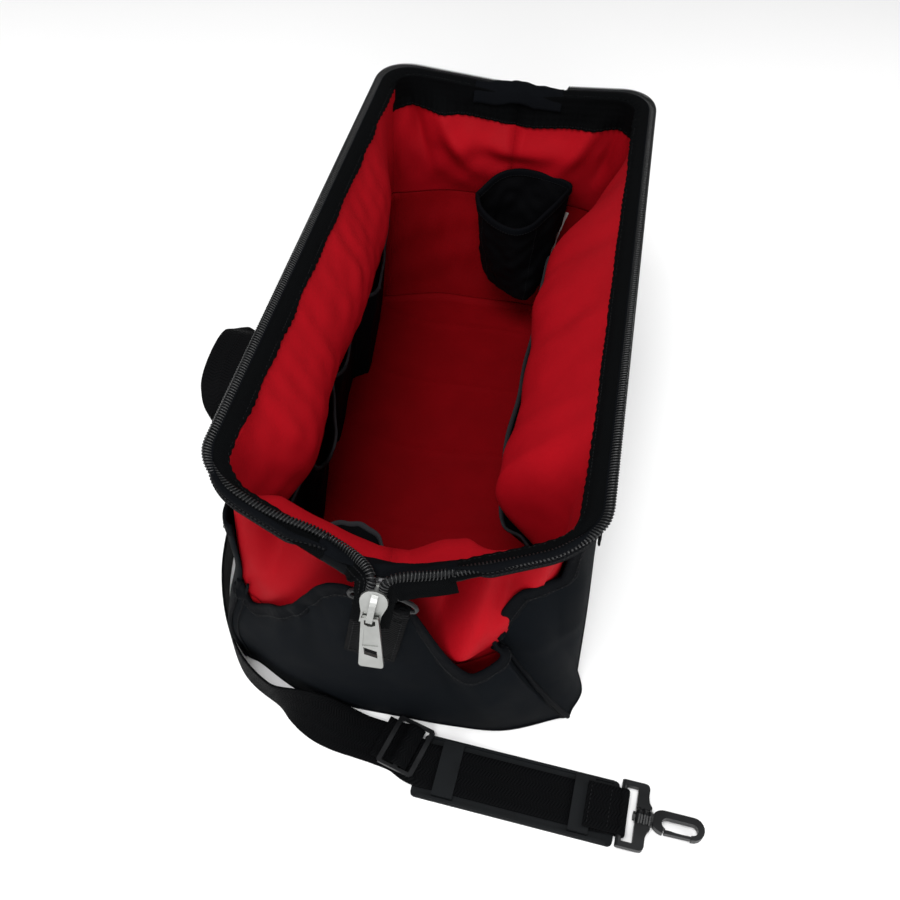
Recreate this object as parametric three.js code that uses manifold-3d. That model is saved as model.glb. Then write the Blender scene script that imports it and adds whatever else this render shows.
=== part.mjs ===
// Zippered tool bag with a wide gate mouth, drawn open, in millimetres.
// X is the bag's width, Y its length with the near end at negative Y, and Z is up.
// The origin is the centre of the flat underside.

import * as THREE from 'three';
import Module from 'manifold-3d';
import { mergeVertices } from 'three/addons/utils/BufferGeometryUtils.js';

const wasm = await Module();
wasm.setup();

// Clearance that touching pieces keep.
const gap = 0.3;

// Bag body.
const baseWidth = 280;
const baseLength = 490;
const endBow = 25;
const cornerRadius = 22;
const baseThickness = 2.2;
const boardThickness = 3;
const boardMargin = 7;
const baseMargin = 2.4;
const liningThickness = 1.2;
const wallThickness = 3.5;
const wallHeight = 140;
const fabricThickness = 1.6;
const nearCornerTop = 190;
const farCornerTop = 205;
const pipingRadius = 2.2;

// Outer pockets.
const pocketThickness = 1.6;
const endPocketMouth = 12;
const nearStand = 1.5;
const sidePocketMouth = 10;
const rightPocketMouth = 4.5;
const sidePocketHeight = 232;
const farPocketHeight = 200;

// Mouth frame: two bent wires that share a rivet at each end.
const hingeHeight = 256;
const hingeOverhang = 61;
const railOverhang = 23;
const hingeHalfLength = baseLength / 2 + hingeOverhang;
const railHalfLength = baseLength / 2 + railOverhang;
const legReach = 127;
const frameFillet = 40;
const framePlane = 8;
const openAngle = 75.9;
const wireRadius = 2.5;
const eyeRadius = 7;
const eyeThickness = 2.4;
const eyeSpread = 1.5;
const rivetRadius = 2.4;
const rivetHeadRadius = 4.4;
const rivetHeadHeight = 1.8;
const sleeveRadius = 4.1;
const sleeveStart = 16;

// Zipper.
const tapeThickness = 1;
const tapeInner = -10;
const tapeOuter = 6;
const coilWidth = 6;
const coilThickness = 3.6;
const zipStart = 44;
const sliderShoulder = 9;
const sliderFoot = 6.6;
const sliderLength = 29.7;
const sliderPlate = 1.7;
const sliderChannel = 4.6;
const sliderSlit = 1.8;
const sliderWall = 1.4;
const dividerWidth = 3;
const dividerLength = 9;
const crownWidth = 4.2;
const crownHeight = 5.6;
const tailCoilWidth = 4.4;
const tabLength = 45;
const tabTopWidth = 11.2;
const tabBottomWidth = 16.5;
const tabThickness = 2.4;
const tabBar = 2;
const tabLean = 9.5;

// Pockets inside.
const pocketStand = 32;
const leftPocketHeight = 132;
const rightPocketHeight = 128;
const nearPocketHeight = 130;
const pouchTopRadius = 46;
const pouchFootRadius = 22;
const labelWidth = 18;
const labelStand = 1.4;
const labelThickness = 0.8;

// Webbing and strap hardware.
const webbingWidth = 38;
const webbingThickness = 2;
const handleRun = 72;
const handleDrop = 50;
const handleStand = 22;
const handlePlace = -120;
const handleSeat = 0.95;
const handleSewn = 16;
const handleSlack = 2;
const leftHandleFoot = 192;
const rightHandleFoot = 196;
const ringWire = 1.6;
const ringHalfWidth = 22.6;
const nearRingDepth = 13;
const farRingDepth = 24;
const ringBarDrop = 24;
const glideLength = 33;
const glideWidth = 44;
const glideThickness = 3;
const glideBar = 4;
const glidePlace = { x: 11, y: -300.3 };
const padLength = 163;
const padWidth = 53;
const padBase = 2.5;
const padBand = 2;
const padBandWidth = 46;
const padLip = 1.7;
const padClear = 0.5;
const padBands = [[17, 34], [127, 143]];
const hookBaseWidth = 54;
const hookBarRadius = 2.4;
const hookSlot = 8.5;
const hookBaseThickness = 5;
const hookBaseLength = 24.5;
const barrelRadius = 6.6;
const barrelRib = 0.8;
const pinRadius = 2.3;
const pinHeadRadius = 3.7;
const pinHeadThickness = 1.6;
const hookLength = 40;
const hookWidth = 18;
const hookThickness = 6.4;
const hookSpine = 5.4;
const gateThickness = 3;

const V = (x, y, z) => new THREE.Vector3(x, y, z);
const TURN = Math.PI / 180;
const smooth = (t) => t * t * (3 - 2 * t);
const clamp01 = (t) => Math.min(1, Math.max(0, t));

const colours = {
  shell: [0x23272b, 0.85, 0],
  lining: [0xa2191d, 0.8, 0],
  webbing: [0x141517, 0.85, 0],
  board: [0x3a3a3a, 0.7, 0],
  steel: [0x8f9296, 0.35, 1],
  nickel: [0xc9cac6, 0.3, 1],
  coil: [0x1b1c1e, 0.4, 0],
  plastic: [0x1e1f21, 0.5, 0],
  rubber: [0x1b1c1e, 0.7, 0],
  label: [0xe8e8e6, 0.7, 0],
};

const bag = new THREE.Group();

function add(name, geometry, colour, parent = bag) {
  const [color, roughness, metalness] = colours[colour];
  const material = new THREE.MeshStandardMaterial({ color, roughness, metalness });
  const mesh = new THREE.Mesh(geometry, material);
  mesh.name = name;
  parent.add(mesh);
  return mesh;
}

// Manifold joins and cuts.
function toSolid(geometry) {
  let g = geometry.clone();
  g.deleteAttribute('normal');
  g.deleteAttribute('uv');
  g = mergeVertices(g, 1e-4);
  return new wasm.Manifold(new wasm.Mesh({
    numProp: 3,
    vertProperties: new Float32Array(g.attributes.position.array),
    triVerts: new Uint32Array(g.index.array),
  }));
}

function fromSolid(solid) {
  const mesh = solid.getMesh();
  const g = new THREE.BufferGeometry();
  g.setAttribute('position', new THREE.BufferAttribute(mesh.vertProperties, 3));
  g.setIndex(new THREE.BufferAttribute(mesh.triVerts, 1));
  return g;
}

function join(first, ...others) {
  return fromSolid(others.reduce((sum, g) => sum.add(toSolid(g)), toSolid(first)));
}

function cut(first, ...others) {
  return fromSolid(others.reduce((left, g) => left.subtract(toSolid(g)), toSolid(first)));
}

// A closed solid between two grids of points, each given as a function of u and v from 0 to 1.
// The outer grid faces out where its u and v directions turn counter-clockwise seen from outside.
function gridSolid(outer, inner, nu, nv) {
  const points = [];
  for (const side of [outer, inner]) {
    for (let i = 0; i <= nu; i++) {
      for (let j = 0; j <= nv; j++) points.push(side(i / nu, j / nv));
    }
  }
  const layer = (nu + 1) * (nv + 1);
  const at = (k, i, j) => k * layer + i * (nv + 1) + j;
  const faces = [];
  const quad = (a, b, c, d) => faces.push(a, b, c, a, c, d);
  for (let i = 0; i < nu; i++) {
    for (let j = 0; j < nv; j++) {
      quad(at(0, i, j), at(0, i + 1, j), at(0, i + 1, j + 1), at(0, i, j + 1));
      quad(at(1, i, j), at(1, i, j + 1), at(1, i + 1, j + 1), at(1, i + 1, j));
    }
    quad(at(0, i, 0), at(1, i, 0), at(1, i + 1, 0), at(0, i + 1, 0));
    quad(at(0, i, nv), at(0, i + 1, nv), at(1, i + 1, nv), at(1, i, nv));
  }
  for (let j = 0; j < nv; j++) {
    quad(at(0, 0, j), at(0, 0, j + 1), at(1, 0, j + 1), at(1, 0, j));
    quad(at(0, nu, j), at(1, nu, j), at(1, nu, j + 1), at(0, nu, j + 1));
  }
  const g = new THREE.BufferGeometry();
  g.setAttribute('position', new THREE.Float32BufferAttribute(points.flatMap((p) => p.toArray()), 3));
  g.setIndex(faces);
  return g;
}

// A sheet of even thickness around a surface, thickened along the surface's own normal.
function sheet(surface, nu, nv, thickness) {
  const step = 1e-3;
  const normal = (u, v) => {
    const du = surface(Math.min(1, u + step), v).sub(surface(Math.max(0, u - step), v));
    const dv = surface(u, Math.min(1, v + step)).sub(surface(u, Math.max(0, v - step)));
    return du.cross(dv).normalize();
  };
  const shifted = (d) => (u, v) => surface(u, v).addScaledVector(normal(u, v), d);
  return gridSolid(shifted(thickness / 2), shifted(-thickness / 2), nu, nv);
}

// A strip of webbing along a route of points, with the direction of its width at each point.
// None of it goes lower than `floor`.
function ribbon(route, widths, width, thickness, steps, floor = -Infinity) {
  const line = new THREE.CatmullRomCurve3(route, false, 'centripetal');
  const across = new THREE.CatmullRomCurve3(widths, false, 'catmullrom', 0.3);
  const surface = (u, v) => {
    const side = across.getPoint(u).normalize();
    const middle = line.getPoint(u);
    middle.z = Math.max(middle.z, floor + (Math.abs(side.z) * width + thickness) / 2);
    return middle.addScaledVector(side, (v - 0.5) * width);
  };
  return sheet(surface, steps, 1, thickness);
}

// A solid swept along a flat run of frames; the profile is counter-clockwise in each frame's (x, y).
// A closed run joins its last frame to its first.
function sweep(frames, profile, closed = false) {
  const n = profile.length;
  const points = frames.flatMap((f) => profile.map(([a, b]) => (
    f.origin.clone().addScaledVector(f.x, a).addScaledVector(f.y, b))));
  const faces = [];
  const total = points.length;
  for (let i = 0; i + (closed ? 0 : 1) < frames.length; i++) {
    for (let k = 0; k < n; k++) {
      const a = i * n + k;
      const b = i * n + ((k + 1) % n);
      faces.push(a, b, (b + n) % total, a, (b + n) % total, (a + n) % total);
    }
  }
  const flat = profile.map(([a, b]) => new THREE.Vector2(a, b));
  const last = (frames.length - 1) * n;
  const caps = closed ? [] : THREE.ShapeUtils.triangulateShape(flat, []);
  for (const [a, b, c] of caps) faces.push(a, c, b, last + a, last + b, last + c);
  const g = new THREE.BufferGeometry();
  g.setAttribute('position', new THREE.Float32BufferAttribute(points.flatMap((p) => p.toArray()), 3));
  g.setIndex(faces);
  return g;
}

function circle(radius, sides) {
  return Array.from({ length: sides }, (_, k) => {
    const a = ((k + 0.5) / sides) * 2 * Math.PI;
    return [radius * Math.cos(a), radius * Math.sin(a)];
  });
}

function extrude(shape, depth, curveSegments = 6) {
  return new THREE.ExtrudeGeometry(shape, { depth, bevelEnabled: false, curveSegments });
}

function polygon(points) {
  return new THREE.Shape(points.map(([x, y]) => new THREE.Vector2(x, y)));
}

// Plan outline of the bag at a height. The corners are the panel seams; the extra corner on the
// right is where the right panel, drawn forward by the slack end, turns from the end to the side.
const halfWidth = baseWidth / 2;
const halfLength = baseLength / 2;

function planCorners(z) {
  const near = 31 * (1 - (1 - Math.min(z, 220) / 220) ** 2);
  const far = 26 * (1 - (1 - Math.min(z, 220) / 220) ** 2);
  const lean = smooth(clamp01((z - 60) / 130)) * 22;
  return [
    { x: -halfWidth + lean, y: -halfLength - near * 0.8, r: cornerRadius },
    { x: halfWidth - 0.4 * z, y: -halfLength - near, r: cornerRadius },
    { x: halfWidth - 0.02 * z, y: -halfLength + 45 - 0.32 * z, r: 34 },
    { x: halfWidth - 0.05 * z, y: halfLength + far, r: cornerRadius },
    { x: -halfWidth + 0.05 * z, y: halfLength + far, r: cornerRadius },
  ];
}

const cornerSteps = 2;
const edgeSteps = [6, 2, 7, 5, 7];
const bows = [endBow, 6, 3, 18, 3];

// Evenly counted points round the outline, offset outwards, with the index of each corner's middle.
function plan(z, out) {
  const corners = planCorners(z);
  const n = corners.length;
  const points = [];
  const seams = [];
  for (let k = 0; k < n; k++) {
    const p = corners[k];
    const before = corners[(k + n - 1) % n];
    const after = corners[(k + 1) % n];
    const a = new THREE.Vector2(before.x - p.x, before.y - p.y).normalize();
    const b = new THREE.Vector2(after.x - p.x, after.y - p.y).normalize();
    const half = Math.acos(THREE.MathUtils.clamp(a.dot(b), -1, 1)) / 2;
    const run = Math.min(p.r / Math.tan(half), 16);
    const start = new THREE.Vector2(p.x, p.y).addScaledVector(a, run);
    const end = new THREE.Vector2(p.x, p.y).addScaledVector(b, run);
    const bend = new THREE.QuadraticBezierCurve(start, new THREE.Vector2(p.x, p.y), end);
    seams.push(points.length + cornerSteps / 2);
    for (let i = 0; i < cornerSteps; i++) points.push(bend.getPoint(i / cornerSteps));
    const c = new THREE.Vector2(p.x - after.x, p.y - after.y).normalize();
    const following = corners[(k + 2) % n];
    const d = new THREE.Vector2(following.x - after.x, following.y - after.y).normalize();
    const nextHalf = Math.acos(THREE.MathUtils.clamp(c.dot(d), -1, 1)) / 2;
    const stop = new THREE.Vector2(after.x, after.y)
      .addScaledVector(c, Math.min(after.r / Math.tan(nextHalf), 16));
    const side = new THREE.Vector2(stop.x - end.x, stop.y - end.y).normalize();
    const outward = new THREE.Vector2(side.y, -side.x);
    for (let i = 0; i < edgeSteps[k]; i++) {
      const f = i / edgeSteps[k];
      const bow = bows[k] * (1 - (2 * f - 1) ** 4);
      points.push(end.clone().lerp(stop, f).addScaledVector(outward, bow));
    }
  }
  const count = points.length;
  const shifted = points.map((p, i) => {
    const t = points[(i + 1) % count].clone().sub(points[(i + count - 1) % count]).normalize();
    return p.clone().add(new THREE.Vector2(t.y, -t.x).multiplyScalar(out));
  });
  return { points: shifted, seams };
}

// A point of the shell: s is a place along the outline in steps, z a height, out an offset.
function shell(s, z, out) {
  const { points } = plan(z, out);
  const n = points.length;
  const i = Math.floor(s);
  const a = points[((i % n) + n) % n];
  const b = points[(((i + 1) % n) + n) % n];
  const p = a.clone().lerp(b, s - i);
  return V(p.x, p.y, z);
}

const seams = plan(0, 0).seams;
const outlineCount = plan(0, 0).points.length;
const [nearLeft, nearRight, , farRight, farLeft] = seams;
const stepsRound = { near: [nearLeft, nearRight], right: [nearRight, farRight],
  far: [farRight, farLeft], left: [farLeft, nearLeft + outlineCount] };

// Base: outer fabric, stiff board and lining.
function baseLayer(out, z, thickness) {
  const outline = plan(0, out).points.map((p) => [p.x, p.y]);
  return extrude(polygon(outline), thickness).translate(0, 0, z);
}

const boardBottom = baseThickness + gap;
const liningBottom = boardBottom + boardThickness + gap;
const floorTop = liningBottom + liningThickness;
const boardX = halfWidth - wallThickness - boardMargin;
const boardY = halfLength - wallThickness - boardMargin;

function roundedPlate(x, y, radius, z, thickness) {
  const shape = new THREE.Shape();
  shape.absarc(x - radius, y - radius, radius, 0, Math.PI / 2);
  shape.absarc(radius - x, y - radius, radius, Math.PI / 2, Math.PI);
  shape.absarc(radius - x, radius - y, radius, Math.PI, Math.PI * 1.5);
  shape.absarc(x - radius, radius - y, radius, Math.PI * 1.5, Math.PI * 2);
  return extrude(shape, thickness).translate(0, 0, z);
}

add('base_panel', baseLayer(baseMargin, 0, baseThickness), 'shell');
add('base_board', roundedPlate(boardX, boardY, cornerRadius, boardBottom, boardThickness), 'board');
add('floor_lining', roundedPlate(boardX, boardY, cornerRadius, liningBottom, liningThickness), 'lining');

// Padded lower walls, one per panel, that meet at the seams.
const seamInset = 0.04;
const pocketInset = 0.88;
const hemRows = 3;
const wallBottom = baseThickness + gap;

// Places along a panel: its two ends and every whole step of the outline between them, so that
// neighbouring layers share their facets.
function panelPlaces([from, to], inset) {
  const inner = [];
  for (let s = Math.ceil(from + pocketInset + 0.01); s < to - pocketInset - 0.01; s++) inner.push(s);
  const ends = inset < pocketInset ? [from + pocketInset, ...inner, to - pocketInset] : inner;
  return [from + inset, ...ends, to - inset];
}

const levelCount = 4;

// Heights up a panel: the padded wall's levels, then a few more up to a hem above it.
function panelLevel(top, j) {
  if (j <= levelCount) return wallBottom + (wallHeight - wallBottom) * (j / levelCount);
  return wallHeight + (top - wallHeight) * ((j - levelCount) / hemRows);
}

function panelSolid(range, top, inner, outer, rows, inset = seamInset) {
  const places = panelPlaces(range, inset);
  const nu = places.length - 1;
  const point = (out) => (u, v) => {
    const s = places[Math.round(u * nu)];
    const share = (s - range[0]) / (range[1] - range[0]);
    const z = panelLevel(top(share), Math.round(v * rows));
    return shell(s, z, out(share, (z - wallBottom) / (top(share) - wallBottom)));
  };
  return gridSolid(point(outer), point(inner), nu, rows);
}

for (const [side, range] of Object.entries(stepsRound)) {
  add(`${side}_wall`, panelSolid(range, () => wallHeight, () => -wallThickness, () => 0,
    levelCount), 'shell');
}

// Outer pockets: a layer sewn down at its sides and foot, standing off the wall at its mouth.
function pocket(name, range, hem, mouth) {
  const stand = (u, v) => gap + mouth(u) * Math.sin(Math.PI * u) ** 0.6 * smooth(v);
  add(name, panelSolid(range, hem, stand, (u, v) => stand(u, v) + pocketThickness,
    levelCount + hemRows, pocketInset), 'shell');
}

function nearHem(u) {
  const rise = smooth(clamp01(u / 0.5)) * 88;
  const sag = smooth(clamp01((u - 0.78) / 0.08)) * 66;
  return 146 + rise - sag;
}

// The near pocket gapes at its right, beside the webbing that holds its middle in.
const nearGape = (u) => nearStand + 2 * endPocketMouth * smooth(clamp01((u - 0.8) / 0.1));

pocket('near_outer_pocket', stepsRound.near, nearHem, nearGape);
pocket('far_outer_pocket', stepsRound.far, () => farPocketHeight, () => sidePocketMouth);
pocket('left_outer_pocket', stepsRound.left, () => sidePocketHeight, () => sidePocketMouth);
pocket('right_outer_pocket', stepsRound.right,
  (u) => nearCornerTop + 6 + (sidePocketHeight - nearCornerTop - 6) * smooth(clamp01(u / 0.25)),
  () => rightPocketMouth);

// Corner piping down each seam.
const pipingTops = { near_left: [nearLeft, nearCornerTop], near_right: [nearRight, nearCornerTop],
  far_right: [farRight, farCornerTop], far_left: [farLeft, farCornerTop] };
for (const [corner, [seam, top]] of Object.entries(pipingTops)) {
  const rows = 10;
  const route = Array.from({ length: rows + 1 }, (_, i) => (
    shell(seam, wallBottom + (top - wallBottom) * (i / rows), pipingRadius + gap)));
  const frames = route.map((origin) => ({ origin, x: V(1, 0, 0), y: V(0, 1, 0) }));
  add(`${corner}_piping`, sweep(frames, circle(pipingRadius, 8)), 'shell');
}

// Mouth frame in its own plane: r runs from the hinge axis to the rail, y along the bag.
// The line is offset outwards by d, and its two bends are round.
function frameLine(d, start, steps = 4) {
  const reach = legReach + d;
  const slope = new THREE.Vector2(legReach, hingeHalfLength - railHalfLength).normalize();
  const shift = new THREE.Vector2(slope.y, slope.x).multiplyScalar(d);
  const legAt = (r) => {
    const y = hingeHalfLength + shift.y - (r - shift.x) * (slope.y / slope.x);
    return new THREE.Vector2(r, y);
  };
  const corner = legAt(reach);
  const radius = frameFillet + d;
  const turn = Math.PI / 2 - Math.atan2(slope.y, slope.x);
  const run = radius * Math.tan(turn / 2);
  const onLeg = corner.clone().addScaledVector(slope, -run).setY(legAt(reach - run * slope.x).y);
  const centre = V(reach - radius, corner.y - run, 0);
  const points = [legAt(start), onLeg];
  for (let i = 1; i <= steps; i++) {
    const a = turn * (1 - i / steps);
    points.push(new THREE.Vector2(centre.x + radius * Math.cos(a), centre.y + radius * Math.sin(a)));
  }
  const far = points;
  const near = points.map((p) => new THREE.Vector2(p.x, -p.y)).reverse();
  return [...far, ...near];
}

// Frames along the line in the mouth's own space, closed: X is away from the other side, Z is r.
function frameFrames(line, w) {
  return line.map((p, i) => {
    const a = line[Math.max(0, i - 1)];
    const b = line[Math.min(line.length - 1, i + 1)];
    const t1 = p.clone().sub(a);
    const t2 = b.clone().sub(p);
    const t = (t1.lengthSq() ? t1.normalize() : t1).add(t2.lengthSq() ? t2.normalize() : t2).normalize();
    const out = new THREE.Vector2(-t.y, t.x);
    return { origin: V(w, p.y, p.x), x: V(1, 0, 0), y: V(0, out.y, out.x) };
  });
}

const box = (x0, x1, y0, y1) => [[x0, y0], [x1, y0], [x1, y1], [x0, y1]];

// One half of the mouth; it is drawn closed and turned open about the hinge axis.
function frameHalf(side, sign) {
  const half = new THREE.Group();
  half.position.set(0, 0, hingeHeight);
  half.rotation.y = sign * openAngle * TURN;
  const mirror = (g) => {
    if (sign > 0) return g;
    const m = g.clone().scale(-1, 1, 1);
    const index = m.index.array;
    for (let i = 0; i < index.length; i += 3) [index[i], index[i + 1]] = [index[i + 1], index[i]];
    return m;
  };
  const put = (name, g, colour) => add(`${side}_${name}`, mirror(g), colour, half);
  const run = (d, w, start, profile) => sweep(frameFrames(frameLine(d, start), w), profile);

  const rod = run(0, framePlane, eyeRadius + 4, circle(wireRadius, 10));
  const parts = [rod];
  for (const end of [-1, 1]) {
    const y = end * (hingeHalfLength + sign * eyeSpread * end);
    const eye = new THREE.CylinderGeometry(eyeRadius, eyeRadius, eyeThickness, 18).translate(0, y, 0);
    const clear = wireRadius + gap;
    const top = framePlane + wireRadius;
    const neck = new THREE.BoxGeometry(top - clear, eyeThickness + 3, wireRadius * 2)
      .translate((top + clear) / 2, y - end * 1.5, eyeRadius + 4.5);
    const stem = new THREE.BoxGeometry(wireRadius * 2, eyeThickness, eyeRadius + 4)
      .translate(0, y, eyeRadius / 2 + 4);
    const bridge = new THREE.BoxGeometry(clear + 0.5, eyeThickness, wireRadius * 2)
      .translate((clear + 0.5) / 2, y, eyeRadius + 4.5);
    parts.push(eye, neck, stem, bridge);
  }
  const bores = [-1, 1].map((end) => (
    new THREE.CylinderGeometry(rivetRadius + gap, rivetRadius + gap, 30, 12)
      .translate(0, end * hingeHalfLength, 0)));
  put('frame_wire', cut(join(...parts), ...bores), 'steel');

  const bore = circle(wireRadius + gap, 10);
  const sleeve = cut(
    run(0, framePlane, sleeveStart, circle(sleeveRadius, 10)),
    run(0, framePlane, sleeveStart - 3, bore),
  );
  put('frame_sleeve', sleeve, 'shell');

  const tapeTop = framePlane - sleeveRadius - gap;
  put('zipper_tape', run(0, tapeTop - tapeThickness / 2, zipStart,
    box(-tapeThickness / 2, tapeThickness / 2, tapeInner, tapeOuter)), 'webbing');
  const c = coilWidth / 2;
  const k = coilThickness / 2;
  const coil = [[-k, -c + 1.4], [-k + 1.2, -c], [k - 1.2, -c], [k, -c + 1.4],
    [k, c - 1.4], [k - 1.2, c], [-k + 1.2, c], [-k, c - 1.4]];
  put('zipper_coil', run(tapeOuter + gap + c, tapeTop - tapeThickness / 2, zipStart, coil), 'coil');
  bag.add(half);
}

frameHalf('left', -1);
frameHalf('right', 1);

// A place on a mouth half while it is open: d along its plane, w off it.
function openPoint(sign, r, w, y) {
  const a = openAngle * TURN;
  const x = r * Math.sin(a) + w * Math.cos(a);
  const z = r * Math.cos(a) - w * Math.sin(a);
  return V(sign * x, y, hingeHeight + z);
}

// Rivets through both pairs of eyes.
for (const [side, end] of [['near', -1], ['far', 1]]) {
  const grip = eyeSpread * 2 + eyeThickness + 2 * gap;
  const profile = [
    [0, -grip / 2 - rivetHeadHeight], [rivetHeadRadius * 0.7, -grip / 2 - rivetHeadHeight],
    [rivetHeadRadius, -grip / 2 - rivetHeadHeight * 0.4], [rivetHeadRadius, -grip / 2],
    [rivetRadius, -grip / 2], [rivetRadius, grip / 2], [rivetHeadRadius, grip / 2],
    [rivetHeadRadius, grip / 2 + rivetHeadHeight * 0.4],
    [rivetHeadRadius * 0.7, grip / 2 + rivetHeadHeight], [0, grip / 2 + rivetHeadHeight],
  ].map(([x, y]) => new THREE.Vector2(x, y));
  add(`${side}_frame_rivet`, new THREE.LatheGeometry(profile, 16)
    .translate(0, end * hingeHalfLength, hingeHeight), 'steel');
}

// Slack fabric between the padded walls and the mouth.
const gussetTopD = -6.5;
const gussetW = framePlane - sleeveRadius + 1.4;

// The mouth's lower edge, from the middle of one end to the middle of the other, on one side.
function mouthEdge(sign) {
  const line = frameLine(gussetTopD, 13).map((p) => openPoint(sign, p.x, gussetW, p.y));
  return new THREE.CatmullRomCurve3(line.reverse(), false, 'catmullrom', 0.1);
}

const mouth = { left: mouthEdge(-1), right: mouthEdge(1) };
const cornerShare = 0.2;
const along = ([from, to], share) => from + (to - from) * share;
const fade = (u) => Math.sin(Math.PI * u) ** 0.5;
const gather = (u) => smooth(clamp01(u / 0.3)) * smooth(clamp01((1 - u) / 0.3));

function upperPanel(name, range, top, fold, nu, inset = 0.12) {
  const surface = (u, v) => {
    const s = range[0] + inset + (range[1] - range[0] - 2 * inset) * u;
    const foot = shell(s, wallHeight + gap + fabricThickness / 2, -wallThickness / 2 - 0.8);
    const lean = fold(u).multiplyScalar(gather(u) * Math.sin(Math.PI * v));
    return foot.lerp(top(u), v).add(lean);
  };
  add(name, sheet(surface, nu, 5, fabricThickness), 'lining');
}

upperPanel('right_upper_panel', stepsRound.right,
  (u) => mouth.right.getPoint(cornerShare + (1 - 2 * cornerShare) * u),
  () => V(-63, 0, -10), 12);
upperPanel('left_upper_panel', stepsRound.left,
  (u) => mouth.left.getPoint(1 - cornerShare - (1 - 2 * cornerShare) * u),
  () => V(26, 0, -4), 12);

// The top edge of an end panel runs along one leg, under the rivet and along the other leg.
function endTop(end) {
  const share = cornerShare - 0.012;
  return (u) => {
    const fromMiddle = Math.abs(2 * u - 1);
    const edge = (end < 0) === (u > 0.5) ? mouth.right : mouth.left;
    const t = fromMiddle * share;
    const p = edge.getPoint(end < 0 ? t : 1 - t);
    p.z -= (eyeRadius + 5) * (1 - smooth(clamp01(fromMiddle / 0.25)));
    return p;
  };
}

upperPanel('near_upper_panel', stepsRound.near, endTop(-1), () => V(0, 10, -4), 12);
upperPanel('far_upper_panel', stepsRound.far, endTop(1), () => V(0, -14, -6), 12);

// Pockets inside. Each is a sheet sewn to its wall at both ends and standing off it between them.
const seamSeat = wallThickness + gap + fabricThickness / 2;
const innerFoot = floorTop + gap + 0.5;

function innerPocket(name, range, from, to, height, stand, nu) {
  const surface = (u, v) => {
    const share = 1 - u;
    const z = innerFoot + (height(share) - innerFoot) * v;
    return shell(along(range, from + (to - from) * share), z, -seamSeat - stand(share, v));
  };
  add(name, sheet(surface, nu, 3, fabricThickness), 'webbing');
}

const leftPouches = 4;
const scallop = (u) => Math.abs(Math.sin(Math.PI * leftPouches * u));
innerPocket('left_inner_pockets', stepsRound.left, 0.14, 0.86, (u) => leftPocketHeight + 14 * scallop(u),
  (u) => pocketStand * fade(u) * (0.45 + 0.55 * scallop(u)), 24);
innerPocket('right_inner_pocket', stepsRound.right, 0.3, 0.8, () => rightPocketHeight,
  (u, v) => 2 * pocketStand * fade(u) * v, 8);
innerPocket('near_inner_pocket', stepsRound.near, 0.18, 0.66, () => nearPocketHeight,
  (u, v) => pocketStand * fade(u) * v, 6);

// A point on a panel's outside, found from one of its plan coordinates and its height.
function onPanel([from, to], axis, value, z, out) {
  const rising = shell(to, z, out)[axis] > shell(from, z, out)[axis];
  let low = from;
  let high = to;
  for (let i = 0; i < 30; i++) {
    const middle = (low + high) / 2;
    if ((shell(middle, z, out)[axis] < value) === rising) low = middle;
    else high = middle;
  }
  return shell(low, z, out);
}

// Open tapered pouch on the far wall, with a blank label beside it.
const insideFar = -wallThickness - gap;
const pouchFootBack = onPanel(stepsRound.far, 'x', 2, 42, insideFar);
const pouchFoot = pouchFootBack.clone().add(V(0, -pouchFootRadius - gap, 0));
const pouchTop = V(20, 225.4, 176);

function toolPouch() {
  const height = pouchTop.z - pouchFoot.z;
  const wall = fabricThickness;
  const profile = [[0, 0], [pouchFootRadius, 0], [pouchTopRadius, height],
    [pouchTopRadius - wall, height], [pouchFootRadius - wall, wall], [0, wall]];
  const g = new THREE.LatheGeometry(profile.map(([r, z]) => new THREE.Vector2(r, z)), 14);
  g.rotateX(Math.PI / 2);
  const p = g.attributes.position;
  for (let i = 0; i < p.count; i++) {
    const t = p.getZ(i) / height;
    p.setX(i, p.getX(i) + (pouchTop.x - pouchFoot.x) * t);
    p.setY(i, p.getY(i) + (pouchTop.y - pouchFoot.y) * t);
  }
  return g.translate(pouchFoot.x, pouchFoot.y, pouchFoot.z);
}

add('tool_pouch', toolPouch(), 'webbing');
const labelRoute = [[46, 60], [57, 95], [68, 131]].map(([x, z]) => (
  onPanel(stepsRound.far, 'x', x, z, insideFar - labelStand - labelThickness / 2)));
add('blank_label', ribbon(labelRoute, labelRoute.map(() => V(-0.95, 0.11, 0.3)), labelWidth,
  labelThickness, 3), 'label');

// Places a geometry whose own axes are x, y and z at an origin.
function place(geometry, origin, x, y, z) {
  return geometry.clone().applyMatrix4(new THREE.Matrix4().makeBasis(x, y, z).setPosition(origin));
}

// Webbing tabs at the two ends, each a double layer that opens into an eye round its ring's bar.
const eyeBore = ringWire + gap;
const eyeOuter = eyeBore + webbingThickness;

function webbingEye(bore, stemStart, stemEnd, stemLow, stemHigh, width) {
  const outer = new THREE.CylinderGeometry(bore + webbingThickness, bore + webbingThickness, width, 16);
  const inner = new THREE.CylinderGeometry(bore, bore, width + 2, 16);
  const stem = new THREE.BoxGeometry(stemHigh - stemLow, width, stemEnd - stemStart)
    .translate((stemLow + stemHigh) / 2, 0, (stemStart + stemEnd) / 2);
  return cut(join(outer, stem), inner);
}

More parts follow.
